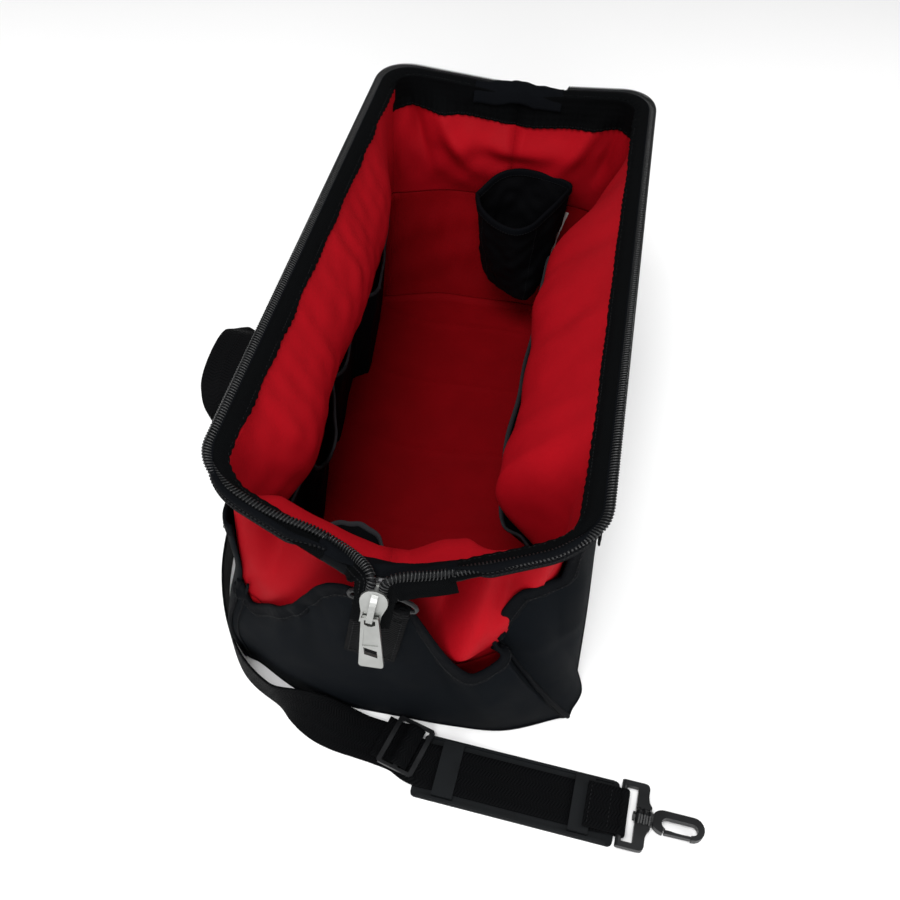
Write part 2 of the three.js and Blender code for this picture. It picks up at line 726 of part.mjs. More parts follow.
function ringTab(side, range, end, bar, up, drop, out) {
  const outward = V(0, end, 0);
  const across = up.clone().cross(outward);
  const backs = -eyeOuter + webbingThickness;
  const eye = webbingEye(eyeBore, -9, -eyeBore * 0.5, -eyeOuter, -eyeOuter + 2 * webbingThickness,
    webbingWidth);
  const route = [bar.clone().addScaledVector(up, -7).addScaledVector(outward, backs)];
  for (const d of [20, drop * 0.6, drop]) {
    const p = bar.clone().addScaledVector(up, -d);
    route.push(onPanel(range, 'x', p.x, p.z, out + gap + webbingThickness));
  }
  const strap = ribbon(route, route.map(() => across), webbingWidth, 2 * webbingThickness, 8);
  add(`${side}_ring_tab`, join(place(eye, bar, outward, across, up), strap), 'webbing');
}

// A wire ring with one straight side, lying in the plane of `across` and `up` from its bar.
function dRing(name, bar, across, up, depth) {
  const outline = [[-ringHalfWidth + 3.2, 0], [ringHalfWidth - 3.2, 0], [ringHalfWidth - 0.8, 1.1]];
  for (let i = 0; i <= 10; i++) {
    const a = (i / 10) * Math.PI;
    outline.push([ringHalfWidth * Math.cos(a), 3.6 + (depth - 3.6) * Math.sin(a)]);
  }
  outline.push([-ringHalfWidth + 0.8, 1.1]);
  const at = ([a, b]) => bar.clone().addScaledVector(across, a).addScaledVector(up, b);
  const normal = across.clone().cross(up);
  const n = outline.length;
  const frames = outline.map((point, i) => {
    const along = at(outline[(i + 1) % n]).sub(at(outline[(i + n - 1) % n])).normalize();
    return { origin: at(point), x: along.clone().cross(normal), y: normal.clone().negate() };
  });
  add(name, sweep(frames, circle(ringWire, 8), true), 'steel');
}

const nearTabOut = gap + nearStand + pocketThickness;
const nearUp = V(0.16, 0, 1).normalize();
const nearBar = onPanel(stepsRound.near, 'x', -1, hingeHeight - ringBarDrop, nearTabOut)
  .add(V(0, -gap - eyeOuter, 0));
ringTab('near', stepsRound.near, -1, nearBar, nearUp, 80, nearTabOut);
dRing('near_d_ring', nearBar, nearUp.clone().cross(V(0, -1, 0)).negate(), nearUp, nearRingDepth);

const farTabOut = gap + sidePocketMouth + pocketThickness;
const farBar = onPanel(stepsRound.far, 'x', 0, hingeHeight - ringBarDrop, farTabOut).add(V(0, gap + eyeOuter, 0));
ringTab('far', stepsRound.far, 1, farBar, V(0, 0, 1), 80, farTabOut);
const farRingDown = V(0, 0.42, -1).normalize();
dRing('far_d_ring', farBar, V(1, 0, 0), farRingDown, farRingDepth);

// Slider: two plates joined by a divider at the nose, flanges along their sides and a crown on top.
// Its own axes are across, down from the nose, and out towards the pull tab.
const sliderDown = V(-0.135, -0.202, -0.97).normalize();
const sliderAcross = V(0.99, 0, -0.138).normalize();
const sliderOut = sliderDown.clone().cross(sliderAcross).normalize();
sliderAcross.copy(sliderOut).cross(sliderDown).normalize();
const sliderNose = V(-1.1, -hingeHalfLength - 8.5, hingeHeight + 8.5);
const onSlider = (a, b, c) => sliderNose.clone().addScaledVector(sliderAcross, a)
  .addScaledVector(sliderDown, b).addScaledVector(sliderOut, c);
const placeOnSlider = (g) => place(g, sliderNose, sliderAcross.clone().negate(), sliderDown, sliderOut);

const sliderSide = new THREE.SplineCurve([
  [0.1, 0], [4.6, 1], [7.4, 4], [sliderShoulder, 9], [8.3, 14], [sliderFoot + 0.2, 20],
  [sliderFoot, 24], [sliderFoot, sliderLength],
].map(([x, y]) => new THREE.Vector2(x, y)));

// One half of the outline from the nose to the foot, drawn in by an inset.
const sideOf = (inset, from = 0) => sliderSide.getPoints(14)
  .filter((p) => p.y >= from)
  .map((p) => [Math.max(0.1, p.x - inset), p.y]);

function sliderBody() {
  const half = sliderChannel / 2;
  const right = sideOf(0);
  const left = right.map(([x, y]) => [-x, y]).reverse();
  const outline = polygon([...right, ...left]);
  const parts = [extrude(outline, sliderPlate).translate(0, 0, -half - sliderPlate),
    extrude(outline, sliderPlate).translate(0, 0, half)];
  const flange = [...sideOf(0, 6), ...sideOf(sliderWall, 6).reverse()];
  for (const sign of [-1, 1]) {
    const side = flange.map(([x, y]) => [sign * x, y]);
    if (sign < 0) side.reverse();
    const depth = half - sliderSlit / 2 + 0.2;
    parts.push(extrude(polygon(side), depth).translate(0, 0, sliderSlit / 2),
      extrude(polygon(side), depth).translate(0, 0, -sliderSlit / 2 - depth));
  }
  parts.push(new THREE.BoxGeometry(dividerWidth, dividerLength - 1, sliderChannel + 0.4)
    .translate(0, dividerLength / 2 + 0.5, 0));
  const top = half + sliderPlate;
  const crown = new THREE.Shape();
  crown.moveTo(2.6, top - 0.4);
  crown.bezierCurveTo(4, top + crownHeight, 12, top + crownHeight, 17, top + crownHeight);
  crown.bezierCurveTo(23, top + crownHeight, 27.4, top + crownHeight - 1, 27.4, top - 0.4);
  const hole = new THREE.Path();
  hole.moveTo(13, top + 0.4);
  hole.lineTo(25, top + 0.4);
  hole.bezierCurveTo(25.4, top + crownHeight - 1.8, 24, top + crownHeight - 1.8, 19,
    top + crownHeight - 1.8);
  hole.bezierCurveTo(15, top + crownHeight - 1.8, 13, top + crownHeight - 3, 13, top + 0.4);
  crown.holes.push(hole);
  const bridge = extrude(crown, crownWidth, 6);
  bridge.applyMatrix4(new THREE.Matrix4().makeBasis(V(0, 1, 0), V(0, 0, 1), V(1, 0, 0)));
  parts.push(bridge.translate(-crownWidth / 2, 0, 0));
  return join(...parts);
}

add('slider_body', placeOnSlider(sliderBody()), 'nickel');

// Pull tab: a flat tapered plate with an eye round the crown, a shallow panel and a window.
const tabPinDown = 22.4;
const tabPinOut = sliderChannel / 2 + sliderPlate + 2;

function pullTab() {
  const half = tabTopWidth / 2;
  const foot = tabBottomWidth / 2;
  const bar = tabBar / 2;
  const outline = new THREE.Shape();
  outline.moveTo(-half + 1, -bar);
  outline.lineTo(half - 1, -bar);
  outline.quadraticCurveTo(half, -bar, half, -bar + 1);
  outline.lineTo(foot, tabLength - 3);
  outline.quadraticCurveTo(foot + 0.1, tabLength, foot - 2, tabLength);
  outline.lineTo(2 - foot, tabLength);
  outline.quadraticCurveTo(-foot - 0.1, tabLength, -foot, tabLength - 3);
  outline.lineTo(-half, -bar + 1);
  outline.quadraticCurveTo(-half, -bar, -half + 1, -bar);
  const eye = new THREE.Path();
  const eyeHalf = crownWidth / 2 + 1.5;
  const eyeEnd = 27.4 - tabPinDown + 1.4;
  eye.moveTo(-eyeHalf, bar);
  eye.lineTo(eyeHalf, bar);
  eye.lineTo(eyeHalf, eyeEnd - 1.5);
  eye.quadraticCurveTo(0, eyeEnd + 1.5, -eyeHalf, eyeEnd - 1.5);
  eye.closePath();
  const windowHole = new THREE.Path([[-4.2, 29], [-4.6, 35.5], [4.2, 33], [4.6, 26.5]]
    .map(([x, y]) => new THREE.Vector2(x, y)));
  outline.holes.push(eye, windowHole);
  const plate = extrude(outline, tabThickness, 3).translate(0, 0, -tabThickness / 2);
  const panel = extrude(polygon([[-half + 1.6, 9.5], [half - 1.6, 9.5], [half - 0.5, 25],
    [-half + 0.5, 24]]), tabThickness).translate(0, 0, tabThickness / 2 - 0.5);
  return cut(plate, panel);
}

const tabTurn = new THREE.Matrix4().makeRotationZ(tabLean * TURN);
add('pull_tab', placeOnSlider(pullTab().applyMatrix4(tabTurn)
  .translate(0, tabPinDown, tabPinOut)), 'nickel');

// Tails of tape and coil that run from each leg into the slider's nose.
const tailTape = 12;
const tailInside = dividerLength;
const tailOffset = dividerWidth / 2 + 0.4 + tailCoilWidth / 2;

function zipTail(side, sign) {
  const line = frameLine(tapeOuter + gap + coilWidth / 2, zipStart - gap);
  const first = line[0];
  const second = line[1];
  const w = framePlane - sleeveRadius - gap - tapeThickness / 2;
  const start = openPoint(sign, first.x, w, -first.y);
  const outerLeg = openPoint(sign, second.x, w, -second.y);
  const legDirection = start.clone().sub(outerLeg).normalize();
  const below = openPoint(sign, 0, 1, 0).sub(openPoint(sign, 0, 0, 0));
  const mouthIn = onSlider(sign * tailOffset, -1.5, 0);
  const end = onSlider(sign * tailOffset, tailInside, 0);
  const curve = new THREE.CubicBezierCurve3(start, start.clone().addScaledVector(legDirection, 24),
    mouthIn.clone().addScaledVector(sliderDown, -12), mouthIn);
  const basis = (t, d) => {
    const x = d.clone().addScaledVector(t, -d.dot(t)).normalize();
    return new THREE.Quaternion().setFromRotationMatrix(
      new THREE.Matrix4().makeBasis(x, t.clone().cross(x), t));
  };
  const outward = legDirection.clone().cross(below).multiplyScalar(sign);
  const from = basis(legDirection, below.clone().addScaledVector(outward, 0.5));
  const to = basis(sliderDown, sliderAcross.clone().multiplyScalar(sign));
  const steps = 8;
  const frames = [];
  for (let i = 0; i <= steps; i++) {
    const u = i / steps;
    const q = from.clone().slerp(to, smooth(u));
    const t = curve.getTangent(u);
    const x = V(1, 0, 0).applyQuaternion(q);
    x.addScaledVector(t, -x.dot(t)).normalize();
    frames.push({ origin: curve.getPoint(u), x, y: t.clone().cross(x) });
  }
  const last = frames[frames.length - 1];
  frames.push({ origin: end, x: last.x, y: last.y });
  const c = tailCoilWidth / 2;
  const k = coilThickness / 2;
  const t = tapeThickness / 2;
  const section = [[-c, -k + 1], [-c + 1, -k], [c - 0.8, -k], [c, -k + 1], [c, -t], [c + tailTape, -t],
    [c + tailTape, t], [c, t], [c, k - 1], [c - 0.8, k], [-c + 1, k], [-c, k - 1]];
  add(`${side}_zip_tail`, sweep(frames, section), 'webbing');
}

zipTail('left', -1);
zipTail('right', 1);

// The joined end of the zip, from inside the slider to just below it.
const joinedHalf = sliderFoot - sliderWall - 0.5;
const joinedEnd = sliderLength + 8;
const joinedTape = 26;
add('zip_tail_tape', placeOnSlider(join(
  new THREE.BoxGeometry(joinedHalf * 2, joinedEnd - tailInside - gap, coilThickness)
    .translate(0, (joinedEnd + tailInside + gap) / 2, 0),
  new THREE.BoxGeometry(joinedTape, joinedEnd - tailInside - gap - 1, tapeThickness)
    .translate(0, (joinedEnd + tailInside + gap + 1) / 2, 0),
)), 'webbing');

// Patch of cloth over the zip's closed far end.
const patchWidth = 26;
const patchLevel = framePlane - sleeveRadius - gap - tapeThickness / 2;
const patchEnd = zipStart - coilWidth / 2 - gap;
const patchRoute = [[-1, patchEnd], [-1, 26], [0, 0], [1, 26], [1, patchEnd]].map(([sign, r]) => {
  const y = hingeHalfLength - r * (hingeHalfLength - railHalfLength) / legReach;
  if (sign === 0) return V(0, y - 2, hingeHeight + eyeRadius + 4);
  return openPoint(sign, r, patchLevel, y).add(V(0, 0, r < zipStart - 2 ? 3 : 0));
});
const legSlope = (hingeHalfLength - railHalfLength) / legReach;
const patchWidths = [-1, -1, 0, 1, 1].map((sign) => (
  openPoint(sign, Math.abs(sign) * legSlope, 0, 1).sub(openPoint(sign, 0, 0, 0))));
add('far_zip_end_patch', ribbon(patchRoute, patchWidths, patchWidth, fabricThickness, 10), 'shell');

// Carry handles of webbing, sewn to the sides by both ends.
const handleOnSide = (side, out) => (y, z, stand = 0) => (
  onPanel(stepsRound[side], 'y', handlePlace + y, z,
    out + handleSeat + webbingThickness / 2 + stand));

function handle(side, route, widths) {
  add(`${side}_handle`, ribbon(route, widths, webbingWidth, webbingThickness, 24), 'webbing');
}

// The left one stands up, and its middle lies level off the side as a grip.
function standingHandle(side, sign, at, foot) {
  const half = handleRun / 2;
  const grip = (y) => at(y, foot).setZ(foot + handleDrop).add(V(sign * handleStand, 0, 0));
  const leg = (y) => [at(y, foot - handleSewn), at(y, foot)];
  const before = leg(-half);
  const after = leg(half);
  const route = [...before, grip(-half + 2).lerp(before[1], 0.35), grip(-half + 12), grip(half - 12),
    grip(half - 2).lerp(after[1], 0.35), ...after.reverse()];
  const outward = V(sign, 0, 0);
  handle(side, route, [V(0, -1, 0), V(0, -1, 0), V(sign * 0.8, -0.6, 0), outward, outward,
    V(sign * 0.8, 0.6, 0), V(0, 1, 0), V(0, 1, 0)]);
}

// The right one hangs flat against the side, and turns in its own plane round two corners.
function hangingHandle(side, at, foot) {
  const half = handleRun / 2;
  const turn = webbingWidth / 2 + 3;
  const grip = foot - handleDrop;
  const leg = [[-half, foot + handleSewn], [-half, foot]];
  for (let i = 0; i <= 4; i++) {
    const a = (i / 4) * (Math.PI / 2);
    leg.push([-half + turn * (1 - Math.cos(a)), grip + turn * (1 - Math.sin(a))]);
  }
  const outline = [...leg, ...leg.map(([y, z]) => [-y, z]).reverse()];
  const route = outline.map(([y, z]) => at(y, z, handleSlack * smooth(clamp01((foot - z) / turn))));
  const widths = route.map((p, i) => {
    const along = route[Math.min(i + 1, route.length - 1)].clone().sub(route[Math.max(i - 1, 0)]);
    return V(0, -along.z, along.y).normalize();
  });
  handle(side, route, widths);
}

standingHandle('left', -1, handleOnSide('left', gap + sidePocketMouth + pocketThickness),
  leftHandleFoot);
hangingHandle('right', handleOnSide('right', gap + rightPocketMouth + pocketThickness),
  rightHandleFoot);

// Strap hooks. A hook's own axes are its length, its width and its thickness, from its webbing bar.
function hookBase() {
  const half = hookBaseWidth / 2;
  const arm = hookBarRadius + hookSlot;
  const t = hookBaseThickness / 2;
  const shape = new THREE.Shape();
  shape.moveTo(0, -half);
  shape.lineTo(arm + 5, -half);
  shape.quadraticCurveTo(arm + 8.6, -half, arm + 9, -half + 4);
  shape.quadraticCurveTo(arm + 8, -12, hookBaseLength - 1.5, -9);
  shape.lineTo(hookBaseLength - 1.5, 9);
  shape.quadraticCurveTo(arm + 8, 12, arm + 9, half - 4);
  shape.quadraticCurveTo(arm + 8.6, half, arm + 5, half);
  shape.lineTo(0, half);
  shape.closePath();
  const hole = polygon([[-3, -half + 4.5], [arm, -half + 4.5], [arm, half - 4.5], [-3, half - 4.5]]);
  const plate = cut(extrude(shape, 2 * t, 3).translate(0, 0, -t), extrude(hole, 20).translate(0, 0, -10));
  const bar = new THREE.CylinderGeometry(hookBarRadius, hookBarRadius, hookBaseWidth, 10);
  const start = arm;
  const run = hookBaseLength - start;
  const ribs = [[0, start], [barrelRadius - 1, start]];
  for (let i = 0; i < 3; i++) {
    const x = start + 1 + (i * (run - 1)) / 3;
    ribs.push([barrelRadius, x], [barrelRadius + barrelRib, x + 0.8], [barrelRadius + barrelRib, x + 2],
      [barrelRadius, x + 2.8]);
  }
  ribs.push([barrelRadius - 1, hookBaseLength], [0, hookBaseLength]);
  const along = (g) => g.rotateZ(-Math.PI / 2);
  const barrel = along(new THREE.LatheGeometry(ribs.map(([r, x]) => new THREE.Vector2(r, x)), 12));
  const bore = along(new THREE.CylinderGeometry(pinRadius + gap, pinRadius + gap, 60, 12));
  return cut(join(plate, bar, barrel), cut(bore, new THREE.BoxGeometry(20, 40, 20)));
}

// Swivel hook: a pin with its head behind the barrel, a thick spine, a round nose and a gate.
const hookStart = hookBaseLength + 0.4;
const hookEnd = hookStart + hookLength;
const gateStart = hookStart + 8;
const gateEnd = hookEnd - 10;
const gateSide = -hookWidth / 2;

function swivelHook() {
  const half = hookWidth / 2;
  const t = hookThickness / 2;
  const shape = new THREE.Shape();
  shape.moveTo(hookStart, -5);
  shape.quadraticCurveTo(hookStart + 4, -half, hookStart + 9, -half);
  shape.lineTo(hookEnd - half, -half);
  shape.absarc(hookEnd - half, 0, half, -Math.PI / 2, Math.PI / 2, false);
  shape.lineTo(hookStart + 8, half);
  shape.quadraticCurveTo(hookStart + 3, half, hookStart, 5);
  shape.closePath();
  const inner = new THREE.Path();
  const low = -half + gateThickness + 0.6;
  const high = half - hookSpine;
  const r = (high - low) / 2;
  inner.moveTo(hookStart + 6.5 + r, high);
  inner.absarc(hookStart + 6.5 + r, low + r, r, Math.PI / 2, Math.PI * 1.5, false);
  inner.lineTo(hookEnd - 5 - r, low);
  inner.absarc(hookEnd - 5 - r, low + r, r, -Math.PI / 2, Math.PI / 2, false);
  inner.closePath();
  shape.holes.push(inner);
  const body = extrude(shape, 2 * t, 5).translate(0, 0, -t);
  const gateSpace = new THREE.BoxGeometry(gateEnd - gateStart, gateThickness + 1.4, 20)
    .translate((gateEnd + gateStart) / 2, gateSide + gateThickness / 2 + 0.1, 0);
  const pinStart = hookBarRadius + hookSlot - 0.4 - pinHeadThickness;
  const along = (g, x) => g.rotateZ(-Math.PI / 2).translate(x, 0, 0);
  const pin = along(new THREE.CylinderGeometry(pinRadius, pinRadius, hookStart + 2 - pinStart, 12),
    (hookStart + 2 + pinStart) / 2);
  const head = along(new THREE.CylinderGeometry(pinHeadRadius, pinHeadRadius, pinHeadThickness, 12),
    pinStart + pinHeadThickness / 2);
  return cut(join(body, pin, head), gateSpace);
}

function hookGate() {
  const shape = new THREE.Shape();
  const low = gateSide + 0.2;
  const high = low + gateThickness;
  shape.moveTo(gateStart + gap + 1.2, low);
  shape.lineTo(gateEnd - gap, low + 0.5);
  shape.lineTo(gateEnd - gap, high - 0.2);
  shape.quadraticCurveTo((gateStart + gateEnd) / 2, high - 0.8, gateStart + 6, high);
  shape.lineTo(gateStart + gap + 1.2, high);
  shape.quadraticCurveTo(gateStart + gap, (low + high) / 2, gateStart + gap + 1.2, low);
  const t = hookThickness / 2 - 0.7;
  return extrude(shape, 2 * t, 4).translate(0, 0, -t);
}

// `turn` is how far the hook has swivelled about its pin.
function hookSet(prefix, origin, along, across, turn) {
  const up = along.clone().cross(across);
  const swivel = new THREE.Matrix4().makeRotationX(turn * TURN);
  const put = (name, g, colour) => add(prefix + name, place(g, origin, along, across, up), colour);
  put('hook_base', hookBase(), 'plastic');
  put('swivel_hook', swivelHook().applyMatrix4(swivel), 'plastic');
  put('hook_gate', hookGate().applyMatrix4(swivel), 'plastic');
}

// The near hook lies on the floor at the end of the shoulder pad.
const padAlong = V(0.9984, -0.0567, 0).normalize();
const padAcross = V(0, 0, 1).cross(padAlong);
const floorHookHeight = barrelRadius + barrelRib + gap;
const nearHookBar = V(189.5, -320.5, floorHookHeight);
hookSet('', nearHookBar, padAlong, padAcross, 0);

// The far hook hangs from the far ring.
const ringFoot = farBar.clone().addScaledVector(farRingDown, farRingDepth);
const hangNose = ringFoot.z + ringWire + 0.8 + 5;
const farHookBar = V(ringFoot.x, ringFoot.y + 0.4, hangNose - hookEnd);
hookSet('far_', farHookBar, V(0, 0, 1), V(1, 0, 0), 90);

// Strap webbing: one length from the far hook, round the left side on the floor, to the near hook.
const strapStart = hookBarRadius + gap;

function strapEye(bar, along, across) {
  const up = along.clone().cross(across);
  const eye = webbingEye(strapStart, -13, -strapStart * 0.5, -webbingThickness / 2, webbingThickness / 2,
    webbingWidth);
  return place(eye, bar, up.negate(), across, along);
}

const upright = V(0, 0, 1);
const strapRoute = [
  [farHookBar.clone().add(V(0, 0, -9)), V(1, 0, 0)],
  [V(-6, 326, 105), V(0.98, 0, -0.2)],
  [V(-48, 340, 52), V(0.7, -0.1, -0.7)],
  [V(-108, 336, 23), V(0.25, -0.1, -0.96)],
  [V(-168, 305, 19.6), upright.clone().negate()],
  [V(-199, 230, 19.4), upright.clone().negate()],
  [V(-204, 90, 19.4), upright.clone().negate()],
  [V(-200, -60, 19.4), upright.clone().negate()],
  [V(-182, -185, 19.4), upright.clone().negate()],
  [V(-143, -258, 19.4), upright.clone().negate()],
  [V(-108, -282, 19.2), V(0, 0.08, -1)],
  [V(-78, -290, 15.4), V(-0.1, -0.5, -0.85)],
  [V(-50, -294.5, 6.8), V(-0.2, -0.93, -0.3)],
  [V(-28, -297, 1.8), V(-0.2, -0.97, 0)],
  [V(-12, -299, 1.4), V(-0.2, -0.98, 0)],
  [V(8, -303, 1.4), V(-0.2, -0.98, 0)],
];
// The stretch through the pad lies on the pad's own axis, then rises to the hook's bar.
const padWebbing = padBase + padClear + webbingThickness / 2;
for (const [back, z] of [[165, padWebbing + 0.2], [150, padWebbing], [120, padWebbing], [60, padWebbing],
  [30, padWebbing], [20, padWebbing + 1], [9, floorHookHeight]]) {
  const p = nearHookBar.clone().addScaledVector(padAlong, -back).setZ(z);
  strapRoute.push([p, padAcross.clone().negate()]);
}
add('strap_webbing', join(
  ribbon(strapRoute.map(([p]) => p), strapRoute.map(([, w]) => w), webbingWidth, webbingThickness, 64, 0.1),
  strapEye(farHookBar, V(0, 0, 1), V(1, 0, 0)),
  strapEye(nearHookBar, padAlong, padAcross),
), 'webbing');

// Shoulder pad: a rubber base with raised long edges and two bands that the webbing passes under.
function shoulderPad() {
  const half = padWidth / 2;
  const base = roundedPlate(padLength / 2, half, 4, 0, padBase).translate(padLength / 2, 0, 0);
  const parts = [base];
  for (const side of [-1, 1]) {
    parts.push(new THREE.BoxGeometry(padLength - 10, 2.2, padBase + padLip)
      .translate(padLength / 2, side * (half - 1.6), (padBase + padLip) / 2));
  }
  const tunnel = webbingWidth + 2 * padClear;
  const ceiling = padBase + webbingThickness + 2 * padClear;
  for (const [start, end] of padBands) {
    const band = new THREE.BoxGeometry(end - start, padBandWidth, ceiling + padBand - 0.5)
      .translate((start + end) / 2, 0, (ceiling + padBand + 0.5) / 2);
    const passage = new THREE.BoxGeometry(end - start + 4, tunnel, ceiling - padBase)
      .translate((start + end) / 2, 0, (ceiling + padBase) / 2);
    parts.push(cut(band, passage));
  }
  return join(...parts);
}

const padOrigin = nearHookBar.clone().addScaledVector(padAlong, 23 - 189.5).setZ(0);
add('shoulder_pad', place(shoulderPad(), padOrigin, padAlong, padAcross, upright), 'rubber');

// Tri-glide over the pad's end, with the loop of webbing round its middle bar.
const glideAlong = V(0.963, -0.27, 0).normalize();
const glideAcross = upright.clone().cross(glideAlong);
const glideBottom = padBase + webbingThickness + 2 * padClear;
const glideCentre = V(glidePlace.x, glidePlace.y, glideBottom + glideThickness / 2);

function triGlide() {
  const x = glideLength / 2;
  const y = glideWidth / 2;
  const shape = polygon([[-x + 2, -y], [x - 2, -y], [x, -y + 2], [x, y - 2], [x - 2, y], [-x + 2, y],
    [-x, y - 2], [-x, 2 - y]]);
  const plate = extrude(shape, glideThickness).translate(0, 0, -glideThickness / 2);
  const slotLength = x - 1.5 * glideBar;
  const slots = [-1, 1].map((side) => (
    new THREE.BoxGeometry(slotLength, glideWidth - 5.2, glideThickness * 3)
      .translate(side * (glideBar + slotLength) / 2, 0, 0)));
  return cut(plate, ...slots);
}

add('tri_glide', place(triGlide(), glideCentre, glideAlong, glideAcross, upright), 'plastic');

const hump = [[-24, 3.3], [-18, 3.0], [-12.5, 2.9], [-7, 5.5], [-3.5, 9.2], [0, 10.1], [3.5, 9.2],
  [7, 6.4], [8.6, 5.6]];
const humpRoute = hump.map(([a, z]) => glideCentre.clone().addScaledVector(glideAlong, a).setZ(z + 0.9));
add('glide_loop_webbing', ribbon(humpRoute, humpRoute.map(() => glideAcross), webbingWidth,
  webbingThickness, 20), 'webbing');

export default bag;
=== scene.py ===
"""Looks for a wide-mouth zippered tool bag: cloth, webbing, zipper and strap over its rigid frame."""

import logging
import math
from dataclasses import dataclass, field
from enum import Enum
from typing import Callable, Sequence

import bmesh
import bpy
import numpy as np
from mathutils import Matrix, Vector


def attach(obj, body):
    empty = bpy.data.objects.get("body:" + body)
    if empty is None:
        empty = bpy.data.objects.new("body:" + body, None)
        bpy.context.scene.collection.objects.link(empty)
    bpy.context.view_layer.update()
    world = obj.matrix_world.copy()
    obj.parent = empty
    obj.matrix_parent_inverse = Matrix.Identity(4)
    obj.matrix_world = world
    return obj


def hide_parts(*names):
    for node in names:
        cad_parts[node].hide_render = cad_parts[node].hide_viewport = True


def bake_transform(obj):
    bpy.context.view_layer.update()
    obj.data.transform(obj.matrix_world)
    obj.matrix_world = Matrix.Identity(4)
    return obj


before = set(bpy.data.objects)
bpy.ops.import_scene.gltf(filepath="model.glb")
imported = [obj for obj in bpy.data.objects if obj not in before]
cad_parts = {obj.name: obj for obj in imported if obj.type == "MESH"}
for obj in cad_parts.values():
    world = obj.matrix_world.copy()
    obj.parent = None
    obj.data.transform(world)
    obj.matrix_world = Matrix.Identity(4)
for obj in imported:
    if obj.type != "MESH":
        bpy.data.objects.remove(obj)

LOG = logging.getLogger("tool_bag")
MM = 0.001
Array = np.ndarray
Colour = tuple[float, float, float]
WAVES = 9
STITCH_GAP = 0.9


# Numbers and curves.


def unit(v: Array) -> Array:
    """Vectors scaled to length one along the last axis."""
    return v / np.maximum(np.linalg.norm(v, axis=-1, keepdims=True), 1e-9)


def ramp(x: Array | float, low: float, high: float) -> Array:
    """Ease t*t*(3-2t) from 0 where x is low to 1 where x is high."""
    t = np.clip((np.asarray(x, float) - low) / (high - low), 0, 1)
    return t * t * (3 - 2 * t)


def hill(x: Array, centre: float, width: float) -> Array:
    """Rounded hill of height one: exp(-((x-centre)/width)^2)."""
    return np.exp(-(((x - centre) / width) ** 2))


def crumple(x: Array, y: Array, seed: int, size: float) -> Array:
    """Seeded cosines of about one wavelength in all directions, added up to roughly -1 to 1.

    Args:
        x: First coordinate on the cloth.
        y: Second coordinate on the cloth.
        seed: Picks the directions and phases.
        size: Mean wavelength in the units of x and y.

    Returns:
        The sum divided by the root of the number of cosines.
    """
    rng = np.random.default_rng(seed)
    angle = rng.uniform(0, math.tau, WAVES)
    k = math.tau / (size * rng.uniform(0.7, 1.6, WAVES))
    phase = rng.uniform(0, math.tau, WAVES)
    x, y = np.broadcast_arrays(np.asarray(x, float), np.asarray(y, float))
    waves = np.cos(k * (x[..., None] * np.cos(angle) + y[..., None] * np.sin(angle)) + phase)
    return waves.sum(-1) / math.sqrt(WAVES)


def between(p0: Array, p1: Array, p2: Array, p3: Array, f: Array) -> Array:
    """Centripetal Catmull-Rom point a share f of the way from p1 to p2."""
    d0, d1, d2 = (
        np.maximum(np.linalg.norm(b - a, axis=-1, keepdims=True), 1e-6) ** 0.5
        for a, b in ((p0, p1), (p1, p2), (p2, p3))
    )
    m1 = ((p1 - p0) / d0 - (p2 - p0) / (d0 + d1) + (p2 - p1) / d1) * d1
    m2 = ((p2 - p1) / d1 - (p3 - p1) / (d1 + d2) + (p3 - p2) / d2) * d1
    return p1 + f * (m1 + f * (3 * (p2 - p1) - 2 * m1 - m2 + f * (2 * (p1 - p2) + m1 + m2)))


def spline(points: Sequence, count: int) -> Array:
    """Centripetal Catmull-Rom curve through points, sampled at equal shares of its spans.

    Args:
        points: Control points, one row each.
        count: Number of samples.

    Returns:
        The samples, one row each.
    """
    p = np.asarray(points, float)
    ends = np.vstack([2 * p[0] - p[1], p, 2 * p[-1] - p[-2]])
    t = np.linspace(0, len(p) - 1, count)
    i = np.minimum(t.astype(int), len(p) - 2)
    return between(ends[i], ends[i + 1], ends[i + 2], ends[i + 3], (t - i)[:, None])


def lengths(path: Array) -> Array:
    """Distance run along a polyline at each of its points."""
    return np.concatenate([[0], np.cumsum(np.linalg.norm(np.diff(path, axis=0), axis=1))])


def at_length(path: Array, where: Array, values: Array | None = None) -> Array:
    """Points, or other values per point, at given distances along a polyline."""
    run = lengths(path)
    values = path if values is None else values
    return np.stack([np.interp(where, run, values[:, k]) for k in range(values.shape[1])], -1)


def evenly(path: Array, count: int, values: Array | None = None) -> Array:
    """A polyline, or values on it, sampled at equal distances."""
    return at_length(path, np.linspace(0, lengths(path)[-1], count), values)


def tangents(path: Array) -> Array:
    """Unit direction of a polyline at each of its points."""
    return unit(np.gradient(path, axis=0))


def squared(v: Array, t: Array) -> Array:
    """What is left of v at right angles to the unit vectors t, at length one."""
    return unit(v - t * (v * t).sum(-1, keepdims=True))


def within(span: tuple[float, float], share: Array) -> Array:
    """The value a share of the way through a span."""
    return span[0] + (span[1] - span[0]) * share


def shares(nu: int, nv: int) -> list[Array]:
    """Even shares from 0 to 1 along both directions of a grid."""
    return np.meshgrid(np.linspace(0, 1, nu), np.linspace(0, 1, nv), indexing="ij")


def across_axis(along: Array) -> Array:
    """Level direction a quarter turn to the left of another."""
    return np.array([-along[1], along[0], 0.0])


# Meshes.


